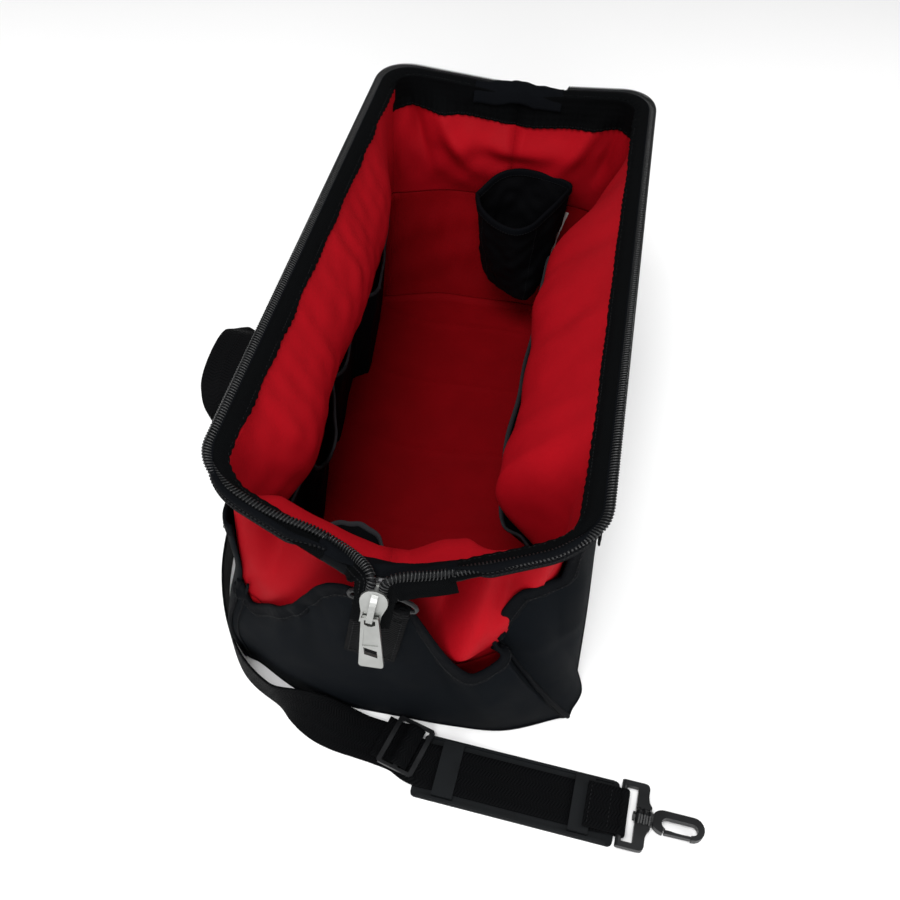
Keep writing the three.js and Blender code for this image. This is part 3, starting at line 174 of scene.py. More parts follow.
def mesh_object(name: str, points: Array, faces: Array, uv: Array | None = None) -> bpy.types.Object:
    """A smooth quad mesh.

    Args:
        name: Name of the object.
        points: Vertices in millimetres, one row each.
        faces: Four vertex numbers per row.
        uv: One row per face corner, in metres of cloth.

    Returns:
        The object, linked to the scene, with its place in its mesh.
    """
    mesh = bpy.data.meshes.new(name)
    mesh.vertices.add(len(points))
    mesh.vertices.foreach_set("co", (np.asarray(points, np.float32) * MM).ravel())
    mesh.loops.add(faces.size)
    mesh.loops.foreach_set("vertex_index", faces.astype(np.int32).ravel())
    mesh.polygons.add(len(faces))
    mesh.polygons.foreach_set("loop_start", np.arange(0, faces.size, 4, dtype=np.int32))
    mesh.polygons.foreach_set("use_smooth", np.ones(len(faces), bool))
    if uv is not None:
        mesh.uv_layers.new(name="UVMap").data.foreach_set("uv", np.asarray(uv, np.float32).ravel())
    mesh.update(calc_edges=True)
    mesh.validate()
    piece = bpy.data.objects.new(name, mesh)
    bpy.context.scene.collection.objects.link(piece)
    return piece


def grid(name: str, points: Array, wrap_u: bool = False, wrap_v: bool = False) -> bpy.types.Object:
    """Quads over an array of points, with run lengths along both directions as its UV.

    Args:
        name: Name of the object.
        points: Array of rows (u) by columns (v) by 3, in millimetres.
        wrap_u: Whether the last row joins the first.
        wrap_v: Whether the last column joins the first.

    Returns:
        The mesh object.
    """
    nu, nv = points.shape[:2]
    i = np.arange(nu if wrap_u else nu - 1)[:, None]
    j = np.arange(nv if wrap_v else nv - 1)[None, :]
    i, j = np.broadcast_arrays(i, j)
    rows = np.stack([i, i + 1, i + 1, i], -1).reshape(-1, 4)
    columns = np.stack([j, j, j + 1, j + 1], -1).reshape(-1, 4)
    closed_u = np.concatenate([points, points[:1]], 0)
    closed_v = np.concatenate([points, points[:, :1]], 1)
    run_u = np.concatenate([[0], np.linalg.norm(np.diff(closed_u, axis=0), axis=-1).mean(1).cumsum()])
    run_v = np.concatenate([[0], np.linalg.norm(np.diff(closed_v, axis=1), axis=-1).mean(0).cumsum()])
    uv = np.stack([run_u[rows], run_v[columns]], -1) * MM
    return mesh_object(name, points.reshape(-1, 3), (rows % nu) * nv + columns % nv, uv)


def merged(piece: bpy.types.Object) -> bpy.types.Object:
    """Joins the doubled points of a closed mesh and turns its faces outwards."""
    work = bmesh.new()
    work.from_mesh(piece.data)
    bmesh.ops.remove_doubles(work, verts=work.verts, dist=1e-6)
    bmesh.ops.dissolve_degenerate(work, dist=1e-7, edges=work.edges)
    bmesh.ops.recalc_face_normals(work, faces=work.faces)
    work.to_mesh(piece.data)
    work.free()
    piece.data.polygons.foreach_set("use_smooth", np.ones(len(piece.data.polygons), bool))
    return piece


def thicken(piece: bpy.types.Object, thickness: float, offset: float = 0.0) -> bpy.types.Object:
    """Gives an open sheet a wall of even thickness in millimetres."""
    solidify = piece.modifiers.new("wall", "SOLIDIFY")
    solidify.thickness = thickness * MM
    solidify.offset = offset
    solidify.use_quality_normals = True
    return piece


def loft(name: str, path: Array, x: Array, y: Array, profile: Array, wrap: bool = False,
         scale: Array | None = None) -> bpy.types.Object:
    """A closed profile carried along a path: path + x*a + y*b for each profile point (a, b).

    Args:
        name: Name of the object.
        path: Points of the path in millimetres.
        x: Direction of the profile's first axis at each point.
        y: Direction of the profile's second axis at each point.
        profile: Profile points (a, b), in millimetres.
        wrap: Whether the path's end joins its start; otherwise both ends close to their middle.
        scale: Size of the profile at each point, or None for full size.

    Returns:
        The mesh object with its faces turned outwards.
    """
    size = np.ones(len(path)) if scale is None else scale
    a = profile[:, 0][None, :, None] * size[:, None, None]
    b = profile[:, 1][None, :, None] * size[:, None, None]
    points = path[:, None] + x[:, None] * a + y[:, None] * b
    if not wrap:
        ends = [np.repeat(p.mean(0, keepdims=True)[None], len(profile), 1) for p in (points[0], points[-1])]
        points = np.concatenate([ends[0], points, ends[1]], 0)
    return merged(grid(name, points, wrap_u=wrap, wrap_v=True))


def ring(radius: float, sides: int, flat: float = 1.0) -> Array:
    """Circle of a radius, its second axis scaled by flat."""
    a = np.arange(sides) / sides * math.tau
    return np.stack([radius * np.cos(a), radius * flat * np.sin(a)], -1)


def stadium(width: float, thickness: float, rows: int = 9) -> Array:
    """Profile of webbing: a flat band with rounded edges."""
    half, r = width / 2, thickness / 2
    side = np.linspace(-half + r, half - r, rows)
    a = np.linspace(-math.pi / 2, math.pi / 2, 5)[1:-1]
    right = np.stack([half - r + r * np.cos(a), r * np.sin(a)], -1)
    top = np.stack([side[::-1], np.full(rows, r)], -1)
    return np.concatenate([np.stack([side, np.full(rows, -r)], -1), right, top, -right], 0)


def tube(name: str, path: Array, radius: float, sides: int, guide: tuple[float, float, float],
         wrap: bool = False) -> bpy.types.Object:
    """Round rod along a path; the guide is any direction that the path never runs along."""
    t = unit(np.roll(path, -1, 0) - np.roll(path, 1, 0)) if wrap else tangents(path)
    x = unit(np.cross(t, np.broadcast_to(guide, path.shape)))
    return loft(name, path, x, np.cross(t, x), ring(radius, sides), wrap=wrap)


def ribbon(name: str, path: Array, across: Array, width: float, thickness: float) -> bpy.types.Object:
    """Flat webbing along a path, its width in one direction or in one at each point."""
    t = tangents(path)
    side = squared(across, t)
    return loft(name, path, side, np.cross(t, side), stadium(width, thickness))


def stitches(name: str, path: Array, normal: Array, pitch: float, radius: float) -> bpy.types.Object:
    """A sewn row: one short rounded thread per pitch, its ends dipping into the cloth.

    Each thread is five rings of six points: share gives each ring's place along the thread's half
    length, thick its radius and lift its height off the cloth, both in thread radii.

    Args:
        name: Name of the object.
        path: Line of the row, in millimetres.
        normal: Direction off the cloth, one or one at each path point.
        pitch: Distance between needle holes.
        radius: Thread radius.

    Returns:
        All threads as one mesh object.
    """
    total = lengths(path)[-1]
    count = max(2, int(total / pitch))
    where = (np.arange(count) + 0.5) * total / count
    centre = at_length(path, where)
    n = unit(at_length(path, where, np.broadcast_to(normal, path.shape)))
    t = unit(at_length(path, where + 0.3) - at_length(path, where - 0.3))
    side = unit(np.cross(n, t))
    share = np.array([-1, -0.8, 0, 0.8, 1])
    thick = np.array([0.05, 0.8, 1, 0.8, 0.05]) * radius
    lift = np.array([-0.8, 0.1, 0.75, 0.1, -0.8]) * radius
    a = np.arange(6) / 6 * math.tau
    run = share * (pitch - STITCH_GAP) / 2
    points = (centre[:, None, None] + t[:, None, None] * run[None, :, None, None]
              + n[:, None, None] * (lift[None, :, None] + thick[None, :, None] * np.sin(a))[..., None]
              + side[:, None, None] * (thick[None, :, None] * np.cos(a))[..., None])
    k = np.arange(count)[:, None, None] * 30
    i, j = np.arange(4)[None, :, None], np.arange(6)[None, None, :]
    corner = [k + i * 6 + j, k + (i + 1) * 6 + j, k + (i + 1) * 6 + (j + 1) % 6, k + i * 6 + (j + 1) % 6]
    faces = np.stack(np.broadcast_arrays(*corner), -1).reshape(-1, 4)
    return mesh_object(name, points.reshape(-1, 3), faces)


# Finishes.


class Weave(Enum):
    """How a cloth's threads cross."""

    PLAIN = "plain"
    TWILL = "twill"
    HERRINGBONE = "herringbone"
    RIB = "rib"


class Shader:
    """A node material, built one socket at a time."""

    def __init__(self, name: str) -> None:
        """Starts an empty material with a principled surface."""
        self.material = bpy.data.materials.new(name)
        self.material.use_nodes = True
        self.tree = self.material.node_tree
        self.tree.nodes.clear()
        out = self.tree.nodes.new("ShaderNodeOutputMaterial")
        self.surface = self.tree.nodes.new("ShaderNodeBsdfPrincipled")
        self.tree.links.new(self.surface.outputs[0], out.inputs["Surface"])

    def put(self, socket: bpy.types.NodeSocket, value: object) -> None:
        """Links a socket into an input, or sets the input to a plain value."""
        if isinstance(value, bpy.types.NodeSocket):
            self.tree.links.new(value, socket)
        elif isinstance(value, tuple) and len(value) == 3 and socket.type == "RGBA":
            socket.default_value = (*value, 1.0)
        else:
            socket.default_value = value

    def node(self, kind: str, output: int | str = 0, settings: dict | None = None, **inputs: object):
        """A new node's output socket, after its settings and inputs are filled in."""
        made = self.tree.nodes.new(kind)
        for key, value in (settings or {}).items():
            setattr(made, key, value)
        for key, value in inputs.items():
            self.put(made.inputs[key.replace("_", " ")], value)
        return made.outputs[output]

    def math(self, operation: str, a: object, b: object = 0.0):
        """One arithmetic node."""
        made = self.tree.nodes.new("ShaderNodeMath")
        made.operation = operation
        self.put(made.inputs[0], a)
        self.put(made.inputs[1], b)
        return made.outputs[0]

    def blend(self, share: object, a: object, b: object, mode: str = "MIX"):
        """A colour between a and b."""
        made = self.tree.nodes.new("ShaderNodeMix")
        made.data_type = "RGBA"
        made.blend_type = mode
        self.put(made.inputs[0], share)
        self.put(made.inputs[6], a)
        self.put(made.inputs[7], b)
        return made.outputs[2]

    def noise(self, vector: object, scale: float, detail: float = 3.0, rough: float = 0.5):
        """Cloudy value of about 0 to 1."""
        return self.node("ShaderNodeTexNoise", 0, Vector=vector, Scale=scale, Detail=detail, Roughness=rough)

    def remap(self, value: object, low: float, high: float, new_low: float = 0.0, new_high: float = 1.0):
        """A value stretched from one range to another, held at its ends."""
        made = self.tree.nodes.new("ShaderNodeMapRange")
        for key, number in zip(range(5), (value, low, high, new_low, new_high)):
            self.put(made.inputs[key], number)
        return made.outputs[0]

    def relief(self, height: object, distance: float, strength: float = 1.0, normal: object = None):
        """Bumps the surface by a height, over an earlier bump if one is given, and returns the normal."""
        made = self.tree.nodes.new("ShaderNodeBump")
        made.inputs["Distance"].default_value = distance
        made.inputs["Strength"].default_value = strength
        self.put(made.inputs["Height"], height)
        if normal is not None:
            self.put(made.inputs["Normal"], normal)
        self.put(self.surface.inputs["Normal"], made.outputs[0])
        return made.outputs[0]

    def finish(self, **inputs: object) -> bpy.types.Material:
        """Fills in the surface's named inputs and returns the material."""
        for key, value in inputs.items():
            self.put(self.surface.inputs[key.replace("_", " ")], value)
        return self.material


@dataclass(frozen=True)
class Cloth:
    """A woven finish whose threads follow the piece's own UV lengths."""

    name: str
    base: Colour
    deep: Colour
    thread: float
    relief: float
    weave: Weave
    roughness: float
    specular: float
    mottle: float
    sheen: float = 0.0

    def pattern(self, s: Shader):
        """Height of the crossing threads, 0 to 1."""
        split = s.tree.nodes.new("ShaderNodeSeparateXYZ")
        s.put(split.inputs[0], s.node("ShaderNodeUVMap", 0, {"uv_map": "UVMap"}))
        turns = math.tau / self.thread
        x = s.math("MULTIPLY", split.outputs[0], turns)
        y = s.math("MULTIPLY", split.outputs[1], turns)
        if self.weave is Weave.PLAIN:
            wave = s.math("MULTIPLY", s.math("SINE", x), s.math("SINE", y))
        elif self.weave is Weave.TWILL:
            wave = s.math("SINE", s.math("ADD", x, y))
        elif self.weave is Weave.HERRINGBONE:
            zigzag = s.math("PINGPONG", y, math.tau * 2)
            wave = s.math("SINE", s.math("ADD", x, zigzag))
        else:
            zigzag = s.math("PINGPONG", s.math("MULTIPLY", y, 0.5), math.tau)
            ribs = s.math("SINE", s.math("ADD", x, zigzag))
            picks = s.math("SINE", s.math("MULTIPLY", y, 2.0))
            wave = s.math("MULTIPLY", ribs, s.math("ADD", 0.75, s.math("MULTIPLY", picks, 0.25)))
        return s.math("ADD", s.math("MULTIPLY", wave, 0.5), 0.5)

    def build(self) -> bpy.types.Material:
        """The finish as a material."""
        s = Shader(self.name)
        height = self.pattern(s)
        place = s.node("ShaderNodeTexCoord", "Object")
        cloud = s.noise(place, 28.0, 4.0)
        fine = s.noise(place, 900.0, 2.0)
        share = s.math("ADD", s.math("MULTIPLY", height, 0.45), s.math("MULTIPLY", fine, 0.5))
        colour = s.blend(share, self.deep, self.base)
        worn = s.remap(cloud, 0.3, 0.75, 1.0 - self.mottle, 1.0 + self.mottle)
        wear = s.node("ShaderNodeCombineColor", 0, None, Red=worn, Green=worn, Blue=worn)
        colour = s.blend(1.0, colour, wear, "MULTIPLY")
        soft = s.relief(s.noise(place, 60.0, 5.0, 0.6), 0.0006, 0.35)
        s.relief(s.math("ADD", height, s.math("MULTIPLY", fine, 0.4)), self.relief, 0.9, soft)
        rough = s.remap(cloud, 0.3, 0.7, self.roughness - 0.06, self.roughness + 0.06)
        return s.finish(Base_Color=colour, Roughness=rough, Sheen_Weight=self.sheen, Sheen_Roughness=0.4,
                        Specular_IOR_Level=self.specular)


@dataclass(frozen=True)
class Moulded:
    """A moulded plastic or rubber finish with fine grain and rubbed high spots."""

    name: str
    base: Colour
    deep: Colour
    roughness: float
    grain: float
    relief: float
    metallic: float = 0.0
    scratch: float = 0.0
    specular: float = 0.5

    def build(self) -> bpy.types.Material:
        """The finish as a material."""
        s = Shader(self.name)
        place = s.node("ShaderNodeTexCoord", "Object")
        grain = s.noise(place, self.grain, 3.0, 0.6)
        cloud = s.noise(place, 45.0, 4.0)
        colour = s.blend(s.remap(cloud, 0.3, 0.7), self.deep, self.base)
        rough = s.remap(cloud, 0.25, 0.75, self.roughness * 0.8, min(1.0, self.roughness * 1.25))
        height = grain
        if self.scratch:
            stretched = s.node("ShaderNodeMapping", 0, None, Vector=place, Scale=(9.0, 9.0, 0.6),
                               Rotation=(0.2, 0.1, 0.3))
            lines = s.noise(stretched, 260.0, 2.0)
            rough = s.math("ADD", rough, s.math("MULTIPLY", lines, self.scratch))
            height = s.math("ADD", grain, s.math("MULTIPLY", lines, 0.5))
        s.relief(height, self.relief, 0.8)
        return s.finish(Base_Color=colour, Roughness=rough, Metallic=self.metallic,
                        Specular_IOR_Level=self.specular)


@dataclass(frozen=True)
class Wardrobe:
    """Every finish of the bag, built once."""

    shell: bpy.types.Material
    # Painted shade: a darker copy of the red lining, for the shaded walls and floor inside the bag.
    deep_lining: bpy.types.Material
    lining: bpy.types.Material
    pocket: bpy.types.Material
    webbing: bpy.types.Material
    tape: bpy.types.Material
    sleeve: bpy.types.Material
    binding: bpy.types.Material
    edging: bpy.types.Material
    label: bpy.types.Material
    thread: bpy.types.Material
    coil: bpy.types.Material
    nickel: bpy.types.Material
    steel: bpy.types.Material
    coated: bpy.types.Material
    plastic: bpy.types.Material
    rubber: bpy.types.Material
    board: bpy.types.Material

    @classmethod
    def make(cls) -> "Wardrobe":
        """Builds the materials of all finishes."""
        return cls(
            shell=Cloth("shell_weave", base=(0.0030, 0.0043, 0.0060), deep=(0.0013, 0.0019, 0.0028),
                        thread=0.0011, relief=0.00016, weave=Weave.PLAIN, roughness=0.82, specular=0.03,
                        mottle=0.2).build(),
            # Painted shade: the same red lining cloth at about 0.6 of its colour, standing in for the shade
            # on the lower walls and floor deep inside the bag.
            deep_lining=Cloth("red_deep_lining", base=(0.20, 0.0012, 0.0036), deep=(0.13, 0.0005, 0.002),
                              thread=0.0009, relief=0.00010, weave=Weave.TWILL, roughness=0.7,
                              specular=0.04, mottle=0.08).build(),
            lining=Cloth("red_lining", base=(0.34, 0.0032, 0.0085), deep=(0.24, 0.0014, 0.005),
                         thread=0.0009, relief=0.00010, weave=Weave.TWILL, roughness=0.66, specular=0.06,
                         mottle=0.08).build(),
            pocket=Cloth("pocket_weave", base=(0.0024, 0.0025, 0.0032), deep=(0.001, 0.0011, 0.0015),
                         thread=0.0011, relief=0.00012, weave=Weave.PLAIN, roughness=0.8, specular=0.05,
                         mottle=0.2).build(),
            webbing=Cloth("webbing_rib", base=(0.0022, 0.0024, 0.0029), deep=(0.0005, 0.0006, 0.0008),
                          thread=0.0026, relief=0.0006, weave=Weave.RIB, roughness=0.76, specular=0.05,
                          mottle=0.15).build(),
            tape=Cloth("zip_tape", base=(0.0022, 0.0026, 0.0029), deep=(0.0005, 0.0006, 0.0008),
                       thread=0.0016, relief=0.0003, weave=Weave.HERRINGBONE, roughness=0.8,
                       specular=0.03, mottle=0.15).build(),
            sleeve=Cloth("sleeve_cloth", base=(0.0022, 0.0026, 0.0034), deep=(0.0011, 0.0013, 0.0018),
                         thread=0.0009, relief=0.00010, weave=Weave.PLAIN, roughness=0.7, specular=0.05,
                         mottle=0.15).build(),
            binding=Cloth("binding_tape", base=(0.0028, 0.0034, 0.0046), deep=(0.0012, 0.0015, 0.0021),
                          thread=0.0012, relief=0.0002, weave=Weave.TWILL, roughness=0.78, specular=0.035,
                          mottle=0.15).build(),
            edging=Cloth("edging_tape", base=(0.030, 0.030, 0.034), deep=(0.013, 0.013, 0.015),
                         thread=0.0012, relief=0.0002, weave=Weave.TWILL, roughness=0.7, specular=0.12,
                         mottle=0.15).build(),
            label=Cloth("blank_label", base=(0.78, 0.78, 0.76), deep=(0.62, 0.62, 0.6), thread=0.0007,
                        relief=0.00008, weave=Weave.PLAIN, roughness=0.6, specular=0.3, mottle=0.05,
                        sheen=0.2).build(),
            thread=Moulded("black_thread", base=(0.0065, 0.007, 0.0078), deep=(0.0032, 0.0035, 0.004),
                           roughness=0.6, grain=1500.0, relief=0.0001, specular=0.12).build(),
            coil=Moulded("coil_nylon", base=(0.0055, 0.006, 0.0066), deep=(0.003, 0.0033, 0.0036),
                         roughness=0.34, grain=700.0, relief=0.00003, specular=0.35).build(),
            nickel=Moulded("satin_nickel", base=(0.36, 0.365, 0.355), deep=(0.25, 0.255, 0.245),
                           roughness=0.32, grain=800.0, relief=0.00004, metallic=1.0,
                           scratch=0.12).build(),
            steel=Moulded("drawn_steel", base=(0.4, 0.4, 0.41), deep=(0.28, 0.28, 0.29), roughness=0.35,
                          grain=500.0, relief=0.00004, metallic=1.0, scratch=0.15).build(),
            coated=Moulded("coated_steel", base=(0.006, 0.0063, 0.007), deep=(0.003, 0.0032, 0.0036),
                           roughness=0.45, grain=700.0, relief=0.00005, scratch=0.1,
                           specular=0.3).build(),
            plastic=Moulded("black_acetal", base=(0.0055, 0.006, 0.007), deep=(0.003, 0.0033, 0.0038),
                            roughness=0.42, grain=900.0, relief=0.00006, specular=0.3).build(),
            rubber=Moulded("pad_rubber", base=(0.0042, 0.0052, 0.0062), deep=(0.0024, 0.003, 0.0036),
                           roughness=0.62, grain=1100.0, relief=0.0002, specular=0.14).build(),
            board=Moulded("stiff_board", base=(0.03, 0.03, 0.03), deep=(0.02, 0.02, 0.02), roughness=0.6,
                          grain=300.0, relief=0.0001).build(),
        )


def paint(piece: bpy.types.Object, finish: bpy.types.Material) -> None:
    """Makes a finish the only material of an object."""
    piece.data.materials.clear()
    piece.data.materials.append(finish)


def dress(piece: bpy.types.Object, finish: bpy.types.Material, body: str = "bag",
          stands_for: Sequence[str] = (), bends: tuple[float, float] | None = None) -> bpy.types.Object:
    """Gives a piece its finish, its body and the nodes that it stands for.

    Args:
        piece: The mesh object.
        finish: Its material.
        body: The body that it moves with.
        stands_for: Nodes that it replaces.
        bends: If given, the piece is not attached to its body but keeps its place baked into its mesh; the
            heights themselves are not used.

    Returns:
        The same object.
    """
    paint(piece, finish)
    if bends is None:
        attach(piece, body)
    else:
        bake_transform(piece)
    if stands_for:
        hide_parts(*stands_for)
    LOG.info("%s: %d faces", piece.name, len(piece.data.polygons))
    return piece


def sew(name: str, row: Array, normal: Array, w: Wardrobe, pitch: float = 3.4,
        radius: float = 0.36, body: str = "bag", bends: tuple[float, float] | None = None) -> None:
    """A dressed row of stitches, from the arguments of stitches and of dress."""
    dress(stitches(name, row, normal, pitch, radius), w.thread, body, bends=bends)


def finish_node(name: str, finish: bpy.types.Material) -> None:
    """Gives a rigid node of the frame its finish."""
    paint(bpy.data.objects[name], finish)


# The bag's form.


class Side(Enum):
    """One half of the mouth, with the sign of its X."""

    LEFT = -1
    RIGHT = 1

    @property
    def word(self) -> str:
        """Side's name in the model."""
        return self.name.lower()

    @property
    def body(self) -> str:
        """Body of this side's mouth frame."""
        return f"{self.word}_frame"


@dataclass
class BagForm:
    """Plan outline and heights of the sewn body, in millimetres."""

    half_width: float = 140.0
    half_length: float = 245.0
    near_swell: float = 31.0
    far_swell: float = 26.0
    swell_top: float = 220.0
    near_left_out: float = 7.0
    near_left_lean: float = 28.0
    near_right_back: float = 45.0
    end_run: float = 16.0
    wall_bottom: float = 2.5
    wall_height: float = 140.0
    edge_steps: tuple[int, ...] = (6, 2, 7, 5, 7)
    bows: tuple[float, ...] = (25.0, 6.0, 3.0, 18.0, 3.0)
    radii: tuple[float, ...] = (22.0, 8.0, 30.0, 22.0, 22.0)
    near: tuple[float, float] = (1.0, 9.0)
    right: tuple[float, float] = (9.0, 22.0)
    far: tuple[float, float] = (22.0, 29.0)
    left: tuple[float, float] = (29.0, 38.0)
    count: int = 37

    def outline(self, z: Array) -> Array:
        """Outline points at each height: five rounded corners joined by bowed edges.

        Args:
            z: Heights, one per outline.

        Returns:
            Array of heights by outline points by 2.
        """
        swell = 1 - (1 - np.minimum(z, self.swell_top) / self.swell_top) ** 2
        near, far = self.near_swell * swell, self.far_swell * swell
        lean = self.near_left_lean * ramp(z, 60, 190) - self.near_left_out
        hw, hl = self.half_width, self.half_length
        tuck = 0.08 * z + 5 * ramp(z, 190, 250)
        x = np.stack([-hw + lean, hw - 0.4 * z, hw - tuck, hw - 0.05 * z, -hw + 0.05 * z], -1)
        back = self.near_right_back - 0.32 * np.minimum(z, 150)
        y = np.stack([-hl - 0.8 * near, -hl - near, -hl + back, hl + far, hl + far], -1)
        corners = np.stack([x, y], -1)
        a = unit(np.roll(corners, 1, 1) - corners)
        b = unit(np.roll(corners, -1, 1) - corners)
        half = np.arccos(np.clip((a * b).sum(-1), -1, 1)) / 2
        run = np.minimum(np.array(self.radii) / np.tan(half), self.end_run)[..., None]
        start, end = corners + a * run, corners + b * run
        points = []
        for k, steps in enumerate(self.edge_steps):
            middle = 0.25 * start[:, k] + 0.5 * corners[:, k] + 0.25 * end[:, k]
            points += [start[:, k], middle]
            stop = start[:, (k + 1) % len(self.edge_steps)]
            side = unit(stop - end[:, k])
            outward = np.stack([side[:, 1], -side[:, 0]], -1)
            f = np.arange(steps) / steps
            bow = self.bows[k] * (1 - (2 * f - 1) ** 4)
            points += [end[:, k] + (stop - end[:, k]) * g + outward * h for g, h in zip(f, bow)]
        return np.stack(points, 1)

    def shell(self, s: Array | float, z: Array | float, out: Array | float = 0.0) -> Array:
        """Points on the body: a Catmull-Rom curve round the outline at s, height z, offset outwards.

        Args:
            s: Place round the outline in steps.
            z: Height.
            out: Offset along the outline's outward normal.

        Returns:
            Points in millimetres, in the shape of the arguments with a last axis of 3.
        """
        s, z, out = np.broadcast_arrays(*(np.asarray(v, float) for v in (s, z, out)))
        heights, where = np.unique(z, return_inverse=True)
        outline = self.outline(heights)[where.reshape(z.shape)]

        def on_curve(t: Array) -> Array:
            i = np.floor(t).astype(int)
            p = [np.take_along_axis(outline, ((i + k) % self.count)[..., None, None], -2)[..., 0, :]
                 for k in (-1, 0, 1, 2)]
            return between(*p, (t - i)[..., None])

        place = on_curve(s)
        t = unit(on_curve(s + 0.05) - on_curve(s - 0.05))
        flat = place + np.stack([t[..., 1], -t[..., 0]], -1) * out[..., None]
        return np.concatenate([flat, z[..., None]], -1)

    def find(self, edge: tuple[float, float], axis: int, value: float, z: float, out: float = 0.0) -> float:
        """Place along an edge where one plan coordinate has a value."""
        s = np.linspace(edge[0], edge[1], 600)
        return float(s[np.argmin(np.abs(self.shell(s, z, out)[:, axis] - value))])


@dataclass
class MouthForm:
    """The gate mouth: two bent wires on one hinge line, drawn open, in millimetres."""

    hinge_height: float = 256.0
    hinge_half: float = 306.0
    rail_half: float = 268.0
    reach: float = 127.0
    fillet: float = 40.0
    angle: float = math.radians(75.9)

    def line(self, count: int, start: float, far_start: float | None = None) -> tuple[Array, Array]:
        """The wire's run in its own plane, from the near leg's foot round to the far one.

        Args:
            count: Number of points, at equal distances.
            start: Distance of the near end from the hinge axis.
            far_start: Distance of the far end, or None for the same.

        Returns:
            Points (r, y) and outward unit normals, one row each.
        """
        slope = unit(np.array([self.reach, self.hinge_half - self.rail_half]))
        turn = math.pi / 2 - math.atan2(slope[1], slope[0])
        run = self.fillet * math.tan(turn / 2)
        feet = [np.array([r, self.hinge_half - r * slope[1] / slope[0]])
                for r in (start, start if far_start is None else far_start)]
        centre = np.array([self.reach - self.fillet, self.rail_half - run])
        a = np.linspace(turn, 0, 24)
        arc = centre + self.fillet * np.stack([np.cos(a), np.sin(a)], -1)
        near, far = (np.vstack([foot, arc]) for foot in feet)
        path = evenly(np.vstack([near * [1, -1], far[::-1]]), count)
        t = tangents(path)
        return path, np.stack([t[:, 1], -t[:, 0]], -1)

    def place(self, side: Side, r: Array, w: Array | float, y: Array) -> Array:
        """Points of the open mouth: r out from the hinge, w below its plane, y along the bag."""
        x = r * math.sin(self.angle) + w * math.cos(self.angle)
        z = r * math.cos(self.angle) - w * math.sin(self.angle)
        x, y, z = np.broadcast_arrays(side.value * x, y, self.hinge_height + z)
        return np.stack([x, y, z], -1)

    def offset(self, side: Side, count: int, start: float, d: Array, w: Array,
               far_start: float | None = None) -> Array:
        """A strip of the mouth: d outwards in its plane and w below it, rows along the wire."""
        line, normal = self.line(count, start, far_start)
        d, w = np.broadcast_arrays(np.atleast_1d(d), np.atleast_1d(w))
        if d.ndim == 1:
            d, w = np.tile(d, (count, 1)), np.tile(w, (count, 1))
        q = line[:, None] + normal[:, None] * d[..., None]
        return self.place(side, q[..., 0], w, q[..., 1])


FORM = BagForm()
MOUTH = MouthForm()


def grid_normals(points: Array) -> Array:
    """Unit normals of a grid, along its rows' direction crossed with its columns'."""
    return unit(np.cross(np.gradient(points, axis=0), np.gradient(points, axis=1)))


def rim_frame(points: Array, count: int) -> tuple[Array, Array, Array]:
    """A grid's last column as an even line, with the directions off the cloth and up along it."""
    path = evenly(points[:, -1], count)
    t = tangents(path)
    outward = squared(unit(evenly(points[:, -1], count, grid_normals(points)[:, -1])), t)
    up = unit(np.cross(outward, t))
    return path, outward, up * np.sign(up[:, 2:3])


# The sewn body.


@dataclass
class OuterPocket:
    """A flat pocket sewn over one panel, open at its bound hem."""

    name: str
    edge: tuple[float, float]
    hem: Callable[[Array], Array]
    mouth: Callable[[Array], Array]
    seed: int
    cloth: float = 1.6
    stand: float = 0.3
    hem_drop: float = 11.0
    stitch_drop: float = 8.4
    rows: int = 150
    levels: int = 40

    def offset(self, u: Array, v: Array) -> Array:
        """Distance of the cloth's middle off the wall, with slack that grows towards the hem."""
        gape = self.mouth(u) * np.maximum(np.sin(np.pi * u), 0) ** 0.6 * ramp(v, 0, 1)
        hold = np.minimum(1, 6 * np.minimum(u, 1 - u))
        slack = (1.5 * crumple(u * 9, v * 2.2, self.seed, 3.2)
                 + 0.7 * crumple(u * 9, v * 3.0, self.seed + 1, 1.3))
        folds = 0.5 * crumple(u * 16, v * 0.6, self.seed + 2, 1.1) * ramp(v, 0.4, 1)
        return self.stand + self.cloth / 2 + gape + hold * (slack + folds) * (0.35 + 0.65 * v)

    def build(self, w: Wardrobe) -> None:
        """Makes the pocket, its bound hem and the hem's stitching."""
        u, v = shares(self.rows, self.levels)
        low = FORM.wall_bottom
        s = within(self.edge, u)
        points = FORM.shell(s, low + (self.hem(u) - low) * v, self.offset(u, v))
        dress(thicken(grid(f"{self.name}_cloth", points), self.cloth), w.shell, "bag",
              [self.name])
        path, outward, up = rim_frame(points, 220)
        d = self.hem_drop
        profile = np.array([(1.5, -d), (1.9, -d + 1.5), (1.8, -1.4), (1.1, 0.3), (0, 0.7), (-1.1, 0.3),
                            (-1.8, -1.4), (-1.9, -d + 1.5), (-1.5, -d)])
        puff = 1 + 0.06 * crumple(lengths(path), 0.0, self.seed + 5, 9.0)
        dress(loft(f"{self.name}_hem", path, outward, up, profile, scale=puff), w.binding)
        row = path - up * self.stitch_drop + outward * 1.95
        sew(f"{self.name}_hem_thread", row[3:-3], outward[3:-3], w)


